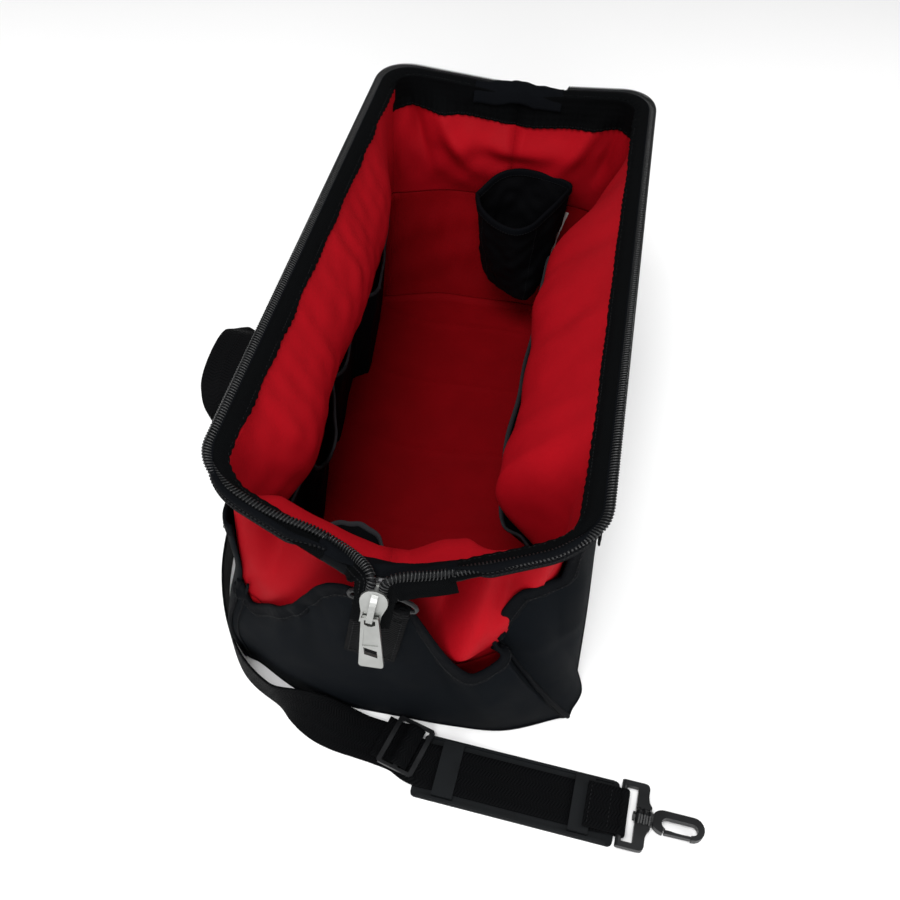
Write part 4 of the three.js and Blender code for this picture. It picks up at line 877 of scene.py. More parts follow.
@dataclass
class SewnBody:
    """Base, lined walls, floor, outer pockets and corner piping."""

    base_margin: float = 2.4
    floor_level: float = 7.6
    floor_gap: float = 3.2
    lining: float = 1.2
    piping: float = 2.2
    seam_top: float = 176.0
    near_left_top: float = 163.0
    far_top: float = 205.0
    hem_height: float = 232.0
    far_hem: float = 200.0
    wall_fill: float = 0.7

    def base(self, w: Wardrobe) -> None:
        """The base cloth: rings from the middle of its underside round its edge to its top."""
        s = np.linspace(0, FORM.count, 240, endpoint=False)
        edge = FORM.shell(s, 0.0, self.base_margin)
        share = np.array([0, 0.4, 0.75, 0.93, 0.985, 1.0, 1.0, 0.985, 0.9, 0.4, 0])
        level = np.array([0, 0, 0, 0.0, 0.15, 0.6, 1.7, 2.15, 2.2, 2.2, 2.2])
        points = edge[:, None] * share[None, :, None]
        points[..., 2] = level
        dress(merged(grid("base_cloth", points, wrap_u=True)), w.shell, "bag", ["base_panel"])
        rim = FORM.shell(s, 3.0, 1.7)
        dress(tube("base_seam", rim, 1.5, 8, (0.13, 0.21, 1.0), wrap=True), w.binding)

    def walls(self, w: Wardrobe) -> None:
        """Padded lower walls as one closed band: outside up, over the top and down the lined inside."""
        s = np.linspace(0, FORM.count, 420, endpoint=False)
        up = np.linspace(FORM.wall_bottom, FORM.wall_height - 1, 22)
        z = np.concatenate([up, [140.2, 140.6, 140.2], up[::-1]])
        out = np.concatenate([np.full(22, -0.1), [-0.8, -1.7, -2.7], np.full(22, -3.5)])
        inside = np.concatenate([np.zeros(25), ramp(up[::-1], 8, 30)])
        run = s * 38.0
        puff = (1.4 * crumple(run[:, None], z[None], 11, 120.0)
                + 0.8 * crumple(run[:, None], z[None], 12, 46.0)
                + 0.5 * crumple(run[:, None] * 1.6, z[None] * 0.4, 13, 22.0)) * inside - 0.6 * inside
        points = FORM.shell(s[:, None], z[None], out + np.minimum(puff, 0.9))
        # Painted shade: the lined walls take the darker copy of the red lining, for the shade low inside the
        # bag.
        walls = dress(merged(grid("lined_walls", points, wrap_u=True, wrap_v=True)), w.deep_lining,
                      "bag", ["near_wall", "right_wall", "far_wall", "left_wall"])

    def floor(self, w: Wardrobe) -> None:
        """The lining over the floor board: a flat sheet whose rim rolls up to the walls."""
        near, far, left, right = (
            FORM.shell(np.linspace(*edge, 400), self.floor_level, -self.floor_gap)
            for edge in (FORM.near, FORM.far, FORM.left, FORM.right)
        )
        u, v = shares(120, 200)
        y = -FORM.half_length + 2 * FORM.half_length * v
        for _ in range(3):
            low = np.interp(y, left[::-1, 1], left[::-1, 0])
            high = np.interp(y, right[:, 1], right[:, 0])
            x = low + (high - low) * u
            first = np.interp(x, near[:, 0], near[:, 1])
            last = np.interp(x, far[::-1, 0], far[::-1, 1])
            y = first + (last - first) * v
        rim = ramp(np.maximum(np.abs(2 * u - 1), np.abs(2 * v - 1)), 0.96, 1.0)
        z = (self.floor_level + 3.0 * rim + 0.35 * crumple(x, y, 21, 90.0) + 0.15 * crumple(x, y, 22, 30.0)
             + 0.5 * ramp(np.abs(crumple(x * 0.6, y, 23, 150.0)), 0.25, 0.0))
        points = np.stack([x, y, z], -1)
        # Painted shade: the floor lining takes the darker copy of the red lining, for the shade at the bottom
        # of the bag.
        dress(thicken(grid("floor_cloth", points), self.lining, -1), w.deep_lining, "bag",
              ["floor_lining"])

    def pockets(self, w: Wardrobe) -> None:
        """The four outer pockets."""
        def near_hem(u: Array) -> Array:
            rise = 76 * ramp(u, 0.12, 0.5) - 24 * hill(u, 0.12, 0.07)
            return 162 + rise - 84 * ramp(u, 0.68, 0.78) + 22 * ramp(u, 0.79, 0.95)

        def near_mouth(u: Array) -> Array:
            return 1.5 + 20 * ramp(u, 0.7, 0.78) * ramp(u, 0.97, 0.86)

        def right_hem(u: Array) -> Array:
            rise = 8 * ramp(u, 0, 0.08) + 38 * ramp(u, 0.08, 0.17) + 30 * ramp(u, 0.24, 0.33)
            return self.seam_top + rise - 16 * ramp(u, 0.7, 0.95)

        def even(value: float) -> Callable[[Array], Array]:
            return lambda u: value + 0.0 * u

        for pocket in (
            OuterPocket("near_outer_pocket", FORM.near, near_hem, near_mouth, 31, rows=170),
            OuterPocket("right_outer_pocket", FORM.right, right_hem, even(4.5), 41, rows=240),
            OuterPocket("far_outer_pocket", FORM.far, even(self.far_hem), even(10.0), 51),
            OuterPocket("left_outer_pocket", FORM.left, even(self.hem_height), even(10.0), 61, rows=240),
        ):
            pocket.build(w)

    def corner_piping(self, w: Wardrobe) -> None:
        """A cord under cloth down each corner, beside a flatter seam ridge."""
        guide = (1.0, 0.2, 0)
        for name, seam, top, turn in (
            ("near_left", 1.0, self.near_left_top, 1),
            ("near_right", 9.0, self.seam_top, -1),
            ("far_right", 22.0, self.far_top, 1),
            ("far_left", 29.0, self.far_top, -1),
        ):
            z = np.linspace(FORM.wall_bottom + 1, top, 90)
            wave = 0.04 * crumple(z, 0.0, int(seam) + 70, 45.0)
            cord = FORM.shell(seam + wave, z, self.piping + 0.5)
            dress(tube(f"{name}_corner_cord", cord, self.piping, 10, guide), w.binding, "bag",
                  [f"{name}_piping"])
            ridge = FORM.shell(seam + turn * 0.55 + wave, z, 2.3)
            dress(tube(f"{name}_seam_ridge", ridge, 1.1, 8, guide), w.binding)

    def build(self, w: Wardrobe) -> None:
        """Makes the whole sewn body."""
        self.base(w)
        self.walls(w)
        self.floor(w)
        self.pockets(w)
        self.corner_piping(w)
        finish_node("base_board", w.board)


@dataclass
class SlackPanels:
    """The slack red cloth between the padded walls and the mouth."""

    foot_level: float = 141.0
    foot_out: float = -2.4
    top_d: float = -6.5
    top_w: float = 5.3
    wire_start: float = 13.0
    near_share: float = 0.147
    far_share: float = 0.185
    cloth: float = 1.6
    dip: float = 2.0
    facing_drop: float = 27.0
    facing_rise: float = 4.0
    samples: int = 900
    panel_run: float = 540.0
    side_bends: tuple[float, float] = (150, 252)
    end_bends: tuple[float, float] = (150, 242)
    corner_pull: tuple[float, float, float] = (-9.0, 15.0, -2.0)
    lean: dict[Side, tuple[float, float, float]] = field(
        default_factory=lambda: {Side.LEFT: (30.0, 0, -4), Side.RIGHT: (-66.0, 0, -10)})
    broad: dict[Side, float] = field(default_factory=lambda: {Side.LEFT: 5.0, Side.RIGHT: 2.2})

    def mouth_edge(self, side: Side) -> Array:
        """Dense run of the mouth's lower edge on one side, near end to far end."""
        return MOUTH.offset(side, self.samples, self.wire_start, self.top_d, self.top_w)[:, 0]

    def foot(self, edge: tuple[float, float], count: int) -> Array:
        """The wall's top line under a panel, at equal distances."""
        return evenly(FORM.shell(np.linspace(*edge, 500), self.foot_level, self.foot_out), count)

    def cloth_grid(self, foot: Array, top: Array, levels: int,
                   fold: Callable[[Array, Array], Array]) -> Array:
        """Straight threads from foot to top, moved by fold(u, v) away from all four edges."""
        u, v = shares(len(foot), levels)
        base = foot[:, None] + (top - foot)[:, None] * v[..., None]
        return base + fold(u, v)

    def side_panel(self, side: Side, edge: tuple[float, float], seed: int, w: Wardrobe) -> None:
        """One long side: a broad slack swell with gathers hanging from the mouth."""
        count = 260
        top = self.mouth_edge(side)
        run = lengths(top)[-1] * np.linspace(self.near_share, 1 - self.far_share, count)
        top = at_length(top, run)
        if side is Side.LEFT:
            top = top[::-1]

        def fold(u: Array, v: Array) -> Array:
            arch = np.sin(np.pi * v)
            run = u * self.panel_run
            if side is Side.RIGHT:
                hold = ramp(u, 0.09, 0.2) * ramp(1 - u, 0, 0.3)
            else:
                hold = ramp(u, 0, 0.3) * ramp(1 - u, 0, 0.2)
            corner = hill(u, 0.11, 0.07) * arch * (side is Side.RIGHT)
            edge_free = arch ** 0.7 * ramp(u, 0, 0.2) * ramp(1 - u, 0, 0.06)
            broad = (self.broad[side] * crumple(run, v * 70, seed, 230.0)
                     + 2.0 * crumple(run, v * 60, seed + 1, 95.0))
            gathers = 1.5 * crumple(run, v * 9, seed + 2, 26.0) * ramp(v, 0.45, 0.95)
            fine = 0.5 * crumple(run, v * 150, seed + 3, 30.0)
            inwards = unit(np.array([-side.value, 0, -0.15]))
            swell = np.array(self.lean[side]) * (arch * hold)[..., None]
            drape = swell + np.array(self.corner_pull) * corner[..., None]
            return drape + inwards * ((broad + gathers + fine) * edge_free)[..., None]

        points = self.cloth_grid(self.foot(edge, count), top, 70, fold)
        panel = thicken(grid(f"{side.word}_slack_cloth", points), self.cloth)
        dress(panel, w.lining, side.body, [f"{side.word}_upper_panel"], self.side_bends)

    def end_panel(self, name: str, edge: tuple[float, float],
                  shape: Callable[[Array, Array], Array], w: Wardrobe) -> None:
        """One end, made as two halves that meet under the rivet."""
        half = 90
        near = name == "near"
        run = lengths(self.mouth_edge(Side.LEFT))[-1] * (self.near_share if near else self.far_share)
        where = np.linspace(0, run, half)
        legs = {}
        for side in Side:
            path = self.mouth_edge(side)
            leg = at_length(path if near else path[::-1], where)
            leg[:, 2] -= self.dip * (1 - ramp(np.linspace(0, 1, half), 0, 0.25))
            legs[side] = leg
        middle = (legs[Side.LEFT][:1] + legs[Side.RIGHT][:1]) / 2
        for side in Side:
            legs[side][:1] = middle
        first, second = (Side.LEFT, Side.RIGHT) if near else (Side.RIGHT, Side.LEFT)
        top = np.vstack([legs[first][::-1], legs[second][1:]])
        points = self.cloth_grid(self.foot(edge, len(top)), top, 64, shape)
        for side, rows in ((first, slice(0, half)), (second, slice(half - 1, None))):
            panel = thicken(grid(f"{name}_{side.word}_slack_cloth", points[rows]), self.cloth)
            stands = [f"{name}_upper_panel"] if side is first else []
            dress(panel, w.lining, side.body, stands, self.end_bends)
            if not near:
                self.facing(side, points[rows], top[rows], w)

    def facing(self, side: Side, panel: Array, top: Array, w: Wardrobe) -> None:
        """Tape facing that hangs inside one far leg, laid on the panel's upper rows and puckered at its hem.

        Args:
            side: Half of the mouth.
            panel: The panel's grid, from its foot to the mouth.
            top: The panel's top line.
            w: Finishes.
        """
        rows, levels = len(top), 26
        run = lengths(top)
        share = np.linspace(0, 1, levels)
        depth = self.facing_drop * share[None] + 0 * run[:, None]
        height = np.maximum(lengths(panel[rows // 2])[-1], 1.0)
        v = 1 - depth / height
        at = v * (panel.shape[1] - 1)
        low = np.minimum(at.astype(int), panel.shape[1] - 2)
        part = (at - low)[..., None]
        index = np.arange(rows)[:, None]
        laid = panel[index, low] * (1 - part) + panel[index, low + 1] * part
        pucker = 0.9 * np.sin(run * math.tau / 7.4 + 2 * crumple(run, 0.0, 161, 50.0))
        pucker = pucker[:, None] * share[None] ** 2
        sag = 0.7 * crumple(run[:, None], depth, 162, 26.0) * share[None]
        inwards = np.array([0.0, -1.0, 0.15])
        points = laid + inwards * (2.4 + 1.2 * (1 - share[None]) ** 3 + pucker + sag)[..., None]
        seam = hill(run if side is Side.LEFT else run[-1] - run, 0.0 * run, 3.0)
        points[..., 1] += seam[:, None] * 1.2
        points[..., 2] += self.facing_rise * (1 - share[None]) ** 4
        dress(thicken(grid(f"far_{side.word}_facing", points), 1.0), w.tape, side.body,
              bends=self.end_bends)
        row = points[:, -3] + inwards * 0.7
        sew(f"far_{side.word}_facing_thread", row, inwards, w, 3.2, 0.3, side.body,
            self.end_bends)

    def near_shape(self, u: Array, v: Array) -> Array:
        """Near end: a slack upper part that sags inwards, and one fold that hangs out over the pocket."""
        free = np.sin(np.pi * v) ** 0.7 * ramp(u, 0, 0.08) * ramp(1 - u, 0, 0.08)
        upper = np.sin(np.pi * v ** 1.9)
        lower = np.sin(np.pi * v ** 0.9) * ramp(v, 0.02, 0.22)
        hollow = (36 + 8 * hill(u, 0.66, 0.14)) * upper * ramp(u, 0, 0.16) * ramp(1 - u, 0.02, 0.2)
        roll = 26 * hill(u, 0.79, 0.085) * lower * ramp(1 - u, 0, 0.06)
        crease = 6 * hill(u, 0.69, 0.03) * lower - 4 * hill(u, 0.9, 0.04) * np.sin(np.pi * v)
        ripple = 2.6 * crumple(u * 200, v * 60, 81, 75.0) + 1.3 * crumple(u * 200, v * 90, 82, 34.0)
        y = hollow - roll + crease + ripple * free
        return np.stack([4 * hill(u, 0.79, 0.1) * np.sin(np.pi * v), y, -4 * np.sin(np.pi * v) * free], -1)

    def far_shape(self, u: Array, v: Array) -> Array:
        """Far end: a soft roll across the middle, and folds that run out from both upper corners."""
        free = np.sin(np.pi * v) ** 0.7 * ramp(u, 0, 0.08) * ramp(1 - u, 0, 0.08)
        lean = 14 * np.sin(np.pi * v) * ramp(u, 0, 0.3) * ramp(1 - u, 0, 0.3)
        top = np.sin(np.pi * v ** 2)
        rays = (9 * hill(u, 0.80 - 0.25 * (1 - v), 0.05) - 7 * hill(u, 0.9 - 0.12 * (1 - v), 0.035)
                + 8 * hill(u, 0.16 + 0.3 * (1 - v), 0.05) - 6 * hill(u, 0.1 + 0.1 * (1 - v), 0.03)) * top
        folds = 10 * hill(v, 0.62, 0.1) * hill(u, 0.5, 0.2) + rays
        ripple = 3.0 * crumple(u * 230, v * 60, 91, 85.0) + 1.2 * crumple(u * 230, v * 90, 92, 33.0)
        y = -lean - (folds + ripple) * free
        return np.stack([0 * u, y, -6 * np.sin(np.pi * v) * free], -1)

    def build(self, w: Wardrobe) -> None:
        """Makes the four panels."""
        self.side_panel(Side.RIGHT, FORM.right, 101, w)
        self.side_panel(Side.LEFT, FORM.left, 111, w)
        self.end_panel("near", FORM.near, self.near_shape, w)
        self.end_panel("far", FORM.far, self.far_shape, w)


# Mouth trim and zipper.


@dataclass
class Coil:
    """A zipper coil: one filament wound flat round a core, in millimetres."""

    pitch: float = 2.45
    half_width: float = 3.0
    half_height: float = 1.75
    filament: float = 0.62
    samples: int = 12

    def wind(self, name: str, path: Array, x: Array, y: Array, scale: Array | None = None,
             phase: float = 0.0) -> bpy.types.Object:
        """The filament: centre + x*a*cos + y*b*sin of an angle that turns once a pitch, squared off.

        Args:
            name: Name of the object.
            path: Centre line.
            x: Direction of the coil's width at each point.
            y: Direction of its height at each point.
            scale: Size at each point, or None.
            phase: Angle at the start.

        Returns:
            The wound filament.
        """
        total = lengths(path)[-1]
        turns = total / self.pitch
        count = max(24, int(turns * self.samples))
        where = np.linspace(0, total, count)
        angle = phase + math.tau * where / self.pitch
        size = np.ones((count, 1)) if scale is None else at_length(path, where, scale[:, None])
        centre, across, out = (at_length(path, where, v) for v in (path, x, y))
        a, b = np.cos(angle)[:, None], np.sin(angle)[:, None]
        flat_a = np.sign(a) * np.abs(a) ** 0.75 * self.half_width * size
        flat_b = np.sign(b) * np.abs(b) ** 0.75 * self.half_height * size
        line = centre + across * flat_a + out * flat_b
        radial = unit(across * a + out * b)
        t = tangents(line)
        side = squared(radial, t)
        return loft(name, line, side, np.cross(t, side), ring(self.filament, 6))


@dataclass
class MouthTrim:
    """Sleeve over each bent wire, zipper tape, coil and the bound edge of the mouth."""

    sleeve_start: float = 16.0
    zip_start: float = 44.0
    far_start: dict[Side, float] = field(default_factory=lambda: {Side.LEFT: 12.0, Side.RIGHT: 46.0})
    tape_inner: float = -8.2
    tape_outer: float = 7.2
    ruffle: float = 8.3
    coil_d: float = 9.3
    coil_w: float = 3.1
    drift: dict[Side, tuple[float, float]] = field(
        default_factory=lambda: {Side.LEFT: (9.3, 8.0), Side.RIGHT: (4.7, 2.2)})
    corner: dict[Side, tuple[float, float]] = field(
        default_factory=lambda: {Side.LEFT: (108.0, 58.0), Side.RIGHT: (100.0, 70.0)})
    binding_lift: float = 4.6
    binding_taper: float = 28.0
    rows: int = 700

    def directions(self, side: Side, normal: Array) -> tuple[Array, Array]:
        """World directions of the mouth plane's outward normal and of its underside."""
        a = MOUTH.angle
        outward = np.stack(
            [side.value * normal[:, 0] * math.sin(a), normal[:, 1], normal[:, 0] * math.cos(a)], -1)
        below = np.tile([side.value * math.cos(a), 0, -math.sin(a)], (len(normal), 1))
        return outward, below

    def run(self, side: Side, start: float, d: Array | float, w: Array | float,
            count: int) -> tuple[Array, Array, Array]:
        """A line of the mouth with its outward and downward directions."""
        _, normal = MOUTH.line(count, start, self.far_start[side])
        outward, below = self.directions(side, normal)
        d, w = (np.broadcast_to(np.asarray(v, float), (count,))[:, None] for v in (d, w))
        return MOUTH.offset(side, count, start, d, w, self.far_start[side])[:, 0], outward, below

    def along(self, side: Side, count: int, start: float) -> Array:
        """Distance of each row from the near leg's start."""
        line, _ = MOUTH.line(count, start, self.far_start[side])
        return lengths(line) + (start - self.zip_start)

    def coil_place(self, side: Side, run: Array) -> tuple[Array, Array]:
        """Offset d and level w of the coil: outside the sleeve on the rail, on top of it at the near leg."""
        drift, last = self.drift[side]
        high, low = self.corner[side]
        d = self.coil_d - drift * ramp(-run, -high, -low) - last * ramp(-run, -50, 0)
        return d, self.coil_w - 2.6 * ramp(-run, -high, -low)

    def sleeve(self, side: Side, w: Wardrobe) -> None:
        """Cloth tube over the wire: an oval with small cross puckers."""
        _, normal = MOUTH.line(self.rows, self.sleeve_start)
        outward, below = self.directions(side, normal)
        path = MOUTH.offset(side, self.rows, self.sleeve_start, 0.0, 6.1)[:, 0]
        run = lengths(path)
        pucker = 1 + 0.02 * crumple(run, 0.0, 140 + side.value, 9.0) + 0.02 * crumple(run, 0.0, 142, 31.0)
        tube_piece = loft(f"{side.word}_wire_sleeve", path, outward, below, ring(4.5, 18, 1.05), scale=pucker)
        dress(tube_piece, w.sleeve, side.body, [f"{side.word}_frame_sleeve"])

    def tape(self, side: Side, w: Wardrobe) -> None:
        """Herringbone band over the sleeve: level 0.8 + 3.3*|d/8.5|^1.7, with a softly wavy inner edge."""
        start = self.zip_start - 4
        run = self.along(side, self.rows, start)
        coil_d, _ = self.coil_place(side, run)
        seed = 150 + side.value
        wave = (0.35 * np.sin(run * math.tau / self.ruffle + 2 * crumple(run, 0.0, seed, 60.0))
                + 0.7 * crumple(run, 0.0, seed + 4, 55.0))
        if side is Side.LEFT:
            notch = 2.2 * hill(run, 118, 13) + 1.4 * hill(run, 96, 9)
        else:
            notch = 3.5 * hill(run, 84, 13)
        edge = np.minimum(self.tape_inner + wave + notch, coil_d - 3.4)
        share = np.linspace(0, 1, 22)[None]
        d = self.tape_outer + (edge[:, None] - self.tape_outer) * share
        ruffle = (0.5 * np.sin(run * math.tau / self.ruffle + 1.3)
                  + 0.5 * crumple(run, 0.0, seed + 5, 22.0))
        level = 0.8 + 3.3 * np.abs(d / 8.5) ** 1.7 + (ruffle[:, None] - 0.5) * share ** 4
        points = MOUTH.offset(side, self.rows, start, d, level, self.far_start[side])
        dress(thicken(grid(f"{side.word}_tape_band", points), 0.9), w.tape, side.body,
              [f"{side.word}_zipper_tape"])
        path, outward, below = self.run(side, start, -5.6, 1.9, self.rows)
        sew(f"{side.word}_tape_thread", path, -below, w, 3.2, 0.26, side.body)
        high, low = self.corner[side]
        lift = self.binding_lift * ramp(-run, -high, -low)
        path, outward, below = self.run(side, start, 0.0, -lift, self.rows)
        profile = np.array([(4.4, 1.6), (7.4, 2.2), (7.9, 3.6), (7.2, 6.0), (6.6, 10.5), (5.8, 14.5),
                            (4.8, 14.6), (5.1, 10.5), (5.2, 6.4), (3.9, 2.6)])
        taper = 0.3 + 0.7 * ramp(np.minimum(run - run[0], run[-1] - run), 0, self.binding_taper)
        dress(loft(f"{side.word}_mouth_binding", path, outward, below, profile, scale=taper), w.binding,
              side.body)
        for k, (d_at, w_at) in enumerate(((7.3, 6.6), (6.7, 10.6))):
            row, outward, _ = self.run(side, start, d_at * taper, w_at * taper - lift, self.rows)
            sew(f"{side.word}_binding_thread_{k}", row, outward, w, 3.0, 0.42, side.body)

    def coil(self, side: Side, w: Wardrobe) -> None:
        """The wound coil along the outer edge, round its core."""
        run = self.along(side, self.rows, self.zip_start)
        place, level = self.coil_place(side, run)
        path, outward, below = self.run(side, self.zip_start, place, level, self.rows)
        filament = Coil().wind(f"{side.word}_coil_filament", path, outward, below)
        dress(filament, w.coil, side.body, [f"{side.word}_zipper_coil"])
        core = loft(f"{side.word}_coil_core", path, outward, below, ring(2.2, 8, 0.5))
        dress(core, w.thread, side.body)

    def build(self, w: Wardrobe) -> None:
        """Makes the trim of both halves."""
        for side in Side:
            self.sleeve(side, w)
            self.tape(side, w)
            self.coil(side, w)
            finish_node(f"{side.word}_frame_wire", w.steel)
        for end in ("near", "far"):
            finish_node(f"{end}_frame_rivet", w.steel)


# Inside pockets.


@dataclass
class InnerPockets:
    """The black pockets sewn inside the walls, the tool pouch and the blank label."""

    foot: float = 7.8
    seat: float = 4.6
    left_span: tuple[float, float] = (0.12, 0.88)
    right_span: tuple[float, float] = (0.41, 0.93)
    near_span: tuple[float, float] = (0.18, 0.66)
    cloth: float = 1.6
    binding_drop: float = 3.6
    pouch_binding_drop: float = 7.0
    left_hem: tuple[tuple[float, float, float], ...] = (
        (0, 0.2, 134), (0.095, 11, 130), (0.235, 21, 128), (0.255, 16, 118), (0.272, 5, 120),
        (0.29, 4, 131), (0.383, 10, 129), (0.461, 16, 126), (0.49, 11, 112), (0.503, 6, 120),
        (0.52, 10, 130), (0.589, 20, 129), (0.692, 33, 127), (0.721, 27, 108), (0.741, 15, 132),
        (0.758, 12, 134), (0.795, 16, 129), (0.853, 15, 126), (0.93, 8, 128), (1, 0.2, 130))
    divisions: tuple[float, ...] = (0.272, 0.503, 0.75)
    right_hem: tuple[tuple[float, float, float], ...] = (
        (0, 0.2, 124), (0.1, 50, 120), (0.2, 77, 116), (0.35, 80, 118), (0.55, 79, 122), (0.8, 80, 125),
        (0.9, 60, 126), (1, 0.2, 128))
    near_hem: tuple[tuple[float, float, float], ...] = (
        (0, 30, 132), (0.1, 82, 138), (0.2, 100, 140), (0.35, 105, 141), (0.47, 103, 140), (0.57, 90, 138),
        (0.65, 82, 138), (0.73, 70, 136), (0.85, 44, 134), (1, 0.2, 130))
    pouch_rim: tuple[tuple[float, float, float], ...] = (
        (-30, 232, 176), (-21, 204, 178), (-2, 186, 176), (18, 181, 174), (33, 189, 175), (47, 212, 178),
        (61, 240, 182), (66, 256, 184), (40, 266, 186), (8, 268, 187), (-11, 258, 185))
    pouch_foot: tuple[tuple[float, float, float], ...] = (
        (-20, 250, 66), (-8, 228, 64), (6, 213, 64), (22, 206, 64), (34, 206, 64), (42, 214, 64),
        (46, 232, 66), (46, 250, 68), (30, 256, 70), (10, 258, 70), (-8, 258, 68))
    label_route: tuple[tuple[float, float], ...] = ((44.0, 70.0), (50.0, 106.0), (58.0, 136.0))
    label_width: float = 18.0
    label_out: float = -5.6

    def sewn(self, name: str, edge: tuple[float, float], span: tuple[float, float],
             height: Callable[[Array], Array], stand: Callable[[Array, Array], Array], w: Wardrobe,
             stands_for: str, inwards: tuple[float, float], rows: int = 220, levels: int = 46) -> None:
        """A pocket sheet off one wall, with a bound and sewn top.

        Args:
            name: Name of the cloth.
            edge: The wall's two seams, in outline steps.
            span: Shares of the wall, counted from its end, where the pocket is sewn.
            height: Height of the hem at share u.
            stand: Distance off the wall at shares u and v.
            w: Finishes.
            stands_for: Node that it replaces.
            inwards: Plan direction off the wall.
            rows: Points along the pocket.
            levels: Points up the pocket.
        """
        u, v = shares(rows, levels)
        share = 1 - u
        s = within(edge, within(span, share))
        top = height(share)
        points = FORM.shell(s, self.foot + (top - self.foot) * v, -self.seat)
        points[..., :2] += np.array(inwards) * stand(share, v)[..., None]
        dress(thicken(grid(name, points), self.cloth), w.pocket, "bag", [stands_for])
        rim, inward, up = rim_frame(points, 420)
        d = self.binding_drop
        profile = np.array([(1.1, -d), (1.3, -d + 0.9), (1.3, -1.0), (0.8, 0.3), (0, 0.6), (-0.8, 0.3),
                            (-1.3, -1.0), (-1.3, -d + 0.9), (-1.1, -d)])
        puff = 1 + 0.05 * crumple(lengths(rim), 0.0, 7, 8.0)
        dress(loft(f"{name}_binding", rim, inward, up, profile, scale=puff), w.edging)
        facing = inward * np.sign((inward * -rim).sum(-1, keepdims=True))
        row = rim - up * 2.4 + facing * 1.35
        sew(f"{name}_binding_thread", row[3:-3], facing[3:-3], w, pitch=3.0, radius=0.24)

    @staticmethod
    def hem(knots: Sequence, u: Array, column: int) -> Array:
        """A hem's stand-off (column 1) or height (column 2) at shares u, on a curve through its knots."""
        curve = spline(knots, 400)
        return np.interp(u, curve[:, 0], curve[:, column])

    def left(self, w: Wardrobe) -> None:
        """A row of four pouches whose slack hems swing out and cut back to the sewn divisions."""
        def stand(u: Array, v: Array) -> Array:
            fade = np.maximum(np.sin(np.pi * u), 0) ** 0.5
            run, rise = u * 420, v * 120
            loose = 1.6 * crumple(run, rise, 201, 80.0) + 0.9 * crumple(run, rise, 202, 34.0)
            out = self.hem(self.left_hem, u, 1) * (0.72 + 0.28 * v)
            return np.maximum(out + loose * fade * (0.3 + 0.5 * v), 0.2)

        def height(u: Array) -> Array:
            return self.hem(self.left_hem, u, 2)

        self.sewn("left_inner_pocket_cloth", FORM.left, self.left_span, height, stand, w,
                  "left_inner_pockets", (1.0, 0.0), rows=360)
        inwards = np.array([1.0, 0, 0])
        v = np.linspace(0.02, 0.92, 60)
        for k, place in enumerate(self.divisions):
            u = np.full(60, place)
            s = within(FORM.left, within(self.left_span, u))
            z = self.foot + (height(u) - self.foot) * v
            path = FORM.shell(s, z, -self.seat) + inwards * (stand(u, v)[:, None] + 1.1)
            sew(f"left_inner_division_thread_{k}", path, inwards, w, pitch=3.2, radius=0.32)

    def slung(self, name: str, edge: tuple[float, float], span: tuple[float, float], knots: Sequence,
              seed: int, stands_for: str, rows: int, inwards: tuple[float, float], w: Wardrobe) -> None:
        """A wide pocket that sags away from its wall as it rises: stand-off times v^1.15."""
        def stand(u: Array, v: Array) -> Array:
            run, rise = u * 280, v * 120
            loose = 1.5 * crumple(run, rise, seed, 90.0) + 0.8 * crumple(run, rise, seed + 1, 38.0)
            fade = np.maximum(np.sin(np.pi * u), 0) ** 0.5
            return np.maximum((self.hem(knots, u, 1) + loose * fade) * v ** 1.15, 0.2)

        self.sewn(name, edge, span, lambda u: self.hem(knots, u, 2), stand, w, stands_for, inwards, rows)

    def pouch(self, w: Wardrobe) -> None:
        """Open pouch on the far wall: rings from a closed foot up to its pointed rim and down inside."""
        count = 120
        rim, foot = (evenly(spline([*points, points[0]], 400), count + 1)[:-1]
                     for points in (self.pouch_rim, self.pouch_foot))
        t = np.concatenate(
            [np.zeros(3), np.linspace(0.015, 1, 40), np.linspace(0.998, 0.03, 34), np.full(2, 0.02)])
        wall = np.concatenate([np.zeros(43), np.full(36, self.cloth)])[None, :, None]
        closing = np.concatenate([[0.001, 0.5, 0.95], np.ones(74), [0.8, 0.001]])[None, :, None]
        centre = foot.mean(0) * (1 - t[:, None]) + rim.mean(0) * t[:, None]
        points = foot[:, None] * (1 - t[None, :, None]) + rim[:, None] * t[None, :, None]
        outward = unit((points - centre[None]) * [1, 1, 0])
        a = np.arange(count)[:, None] / count * math.tau
        run, rise = 45 * a, 130 * t[None]
        loose = (1.5 * crumple(run, rise, 231, 52.0) + 0.8 * crumple(run, rise, 232, 20.0)
                 + 2.5 * np.sin(np.pi * t[None])) * ramp(1 - t[None], 0.0, 0.2)
        points = points + outward * (loose[..., None] - wall)
        points = centre[None] + (points - centre[None]) * closing
        dress(merged(grid("tool_pouch_cloth", points, wrap_u=True)), w.pocket, "bag",
              ["tool_pouch"])
        edge = evenly(np.vstack([points[:, 42], points[:1, 42]]), 240)
        outward = unit((edge - rim.mean(0)) * [1, 1, 0])
        up = np.tile([0, 0, 1.0], (len(edge), 1))
        d = self.pouch_binding_drop
        profile = np.array([(1.0, -d), (1.2, -d + 1.2), (1.2, -0.9), (0.6, 0.4), (-0.8, 0.7), (-2.2, 0.4),
                            (-2.8, -0.9), (-2.8, -d + 1.2), (-2.6, -d)])
        dress(loft("tool_pouch_binding", edge, outward, up, profile), w.binding)
        for k, (drop, push) in enumerate(((5.6, -2.95), (5.6, 1.3))):
            row = edge - up * drop + outward * push
            sew(f"tool_pouch_thread_{k}", row, outward * np.sign(push), w, pitch=3.0, radius=0.3)
        for k, at in enumerate((14, 44)):
            out = unit((points[at, 3:40] - centre[3:40]) * [1, 1, 0])
            sew(f"tool_pouch_seam_thread_{k}", points[at, 3:40] + out * 0.3, out, w, pitch=3.2, radius=0.32)

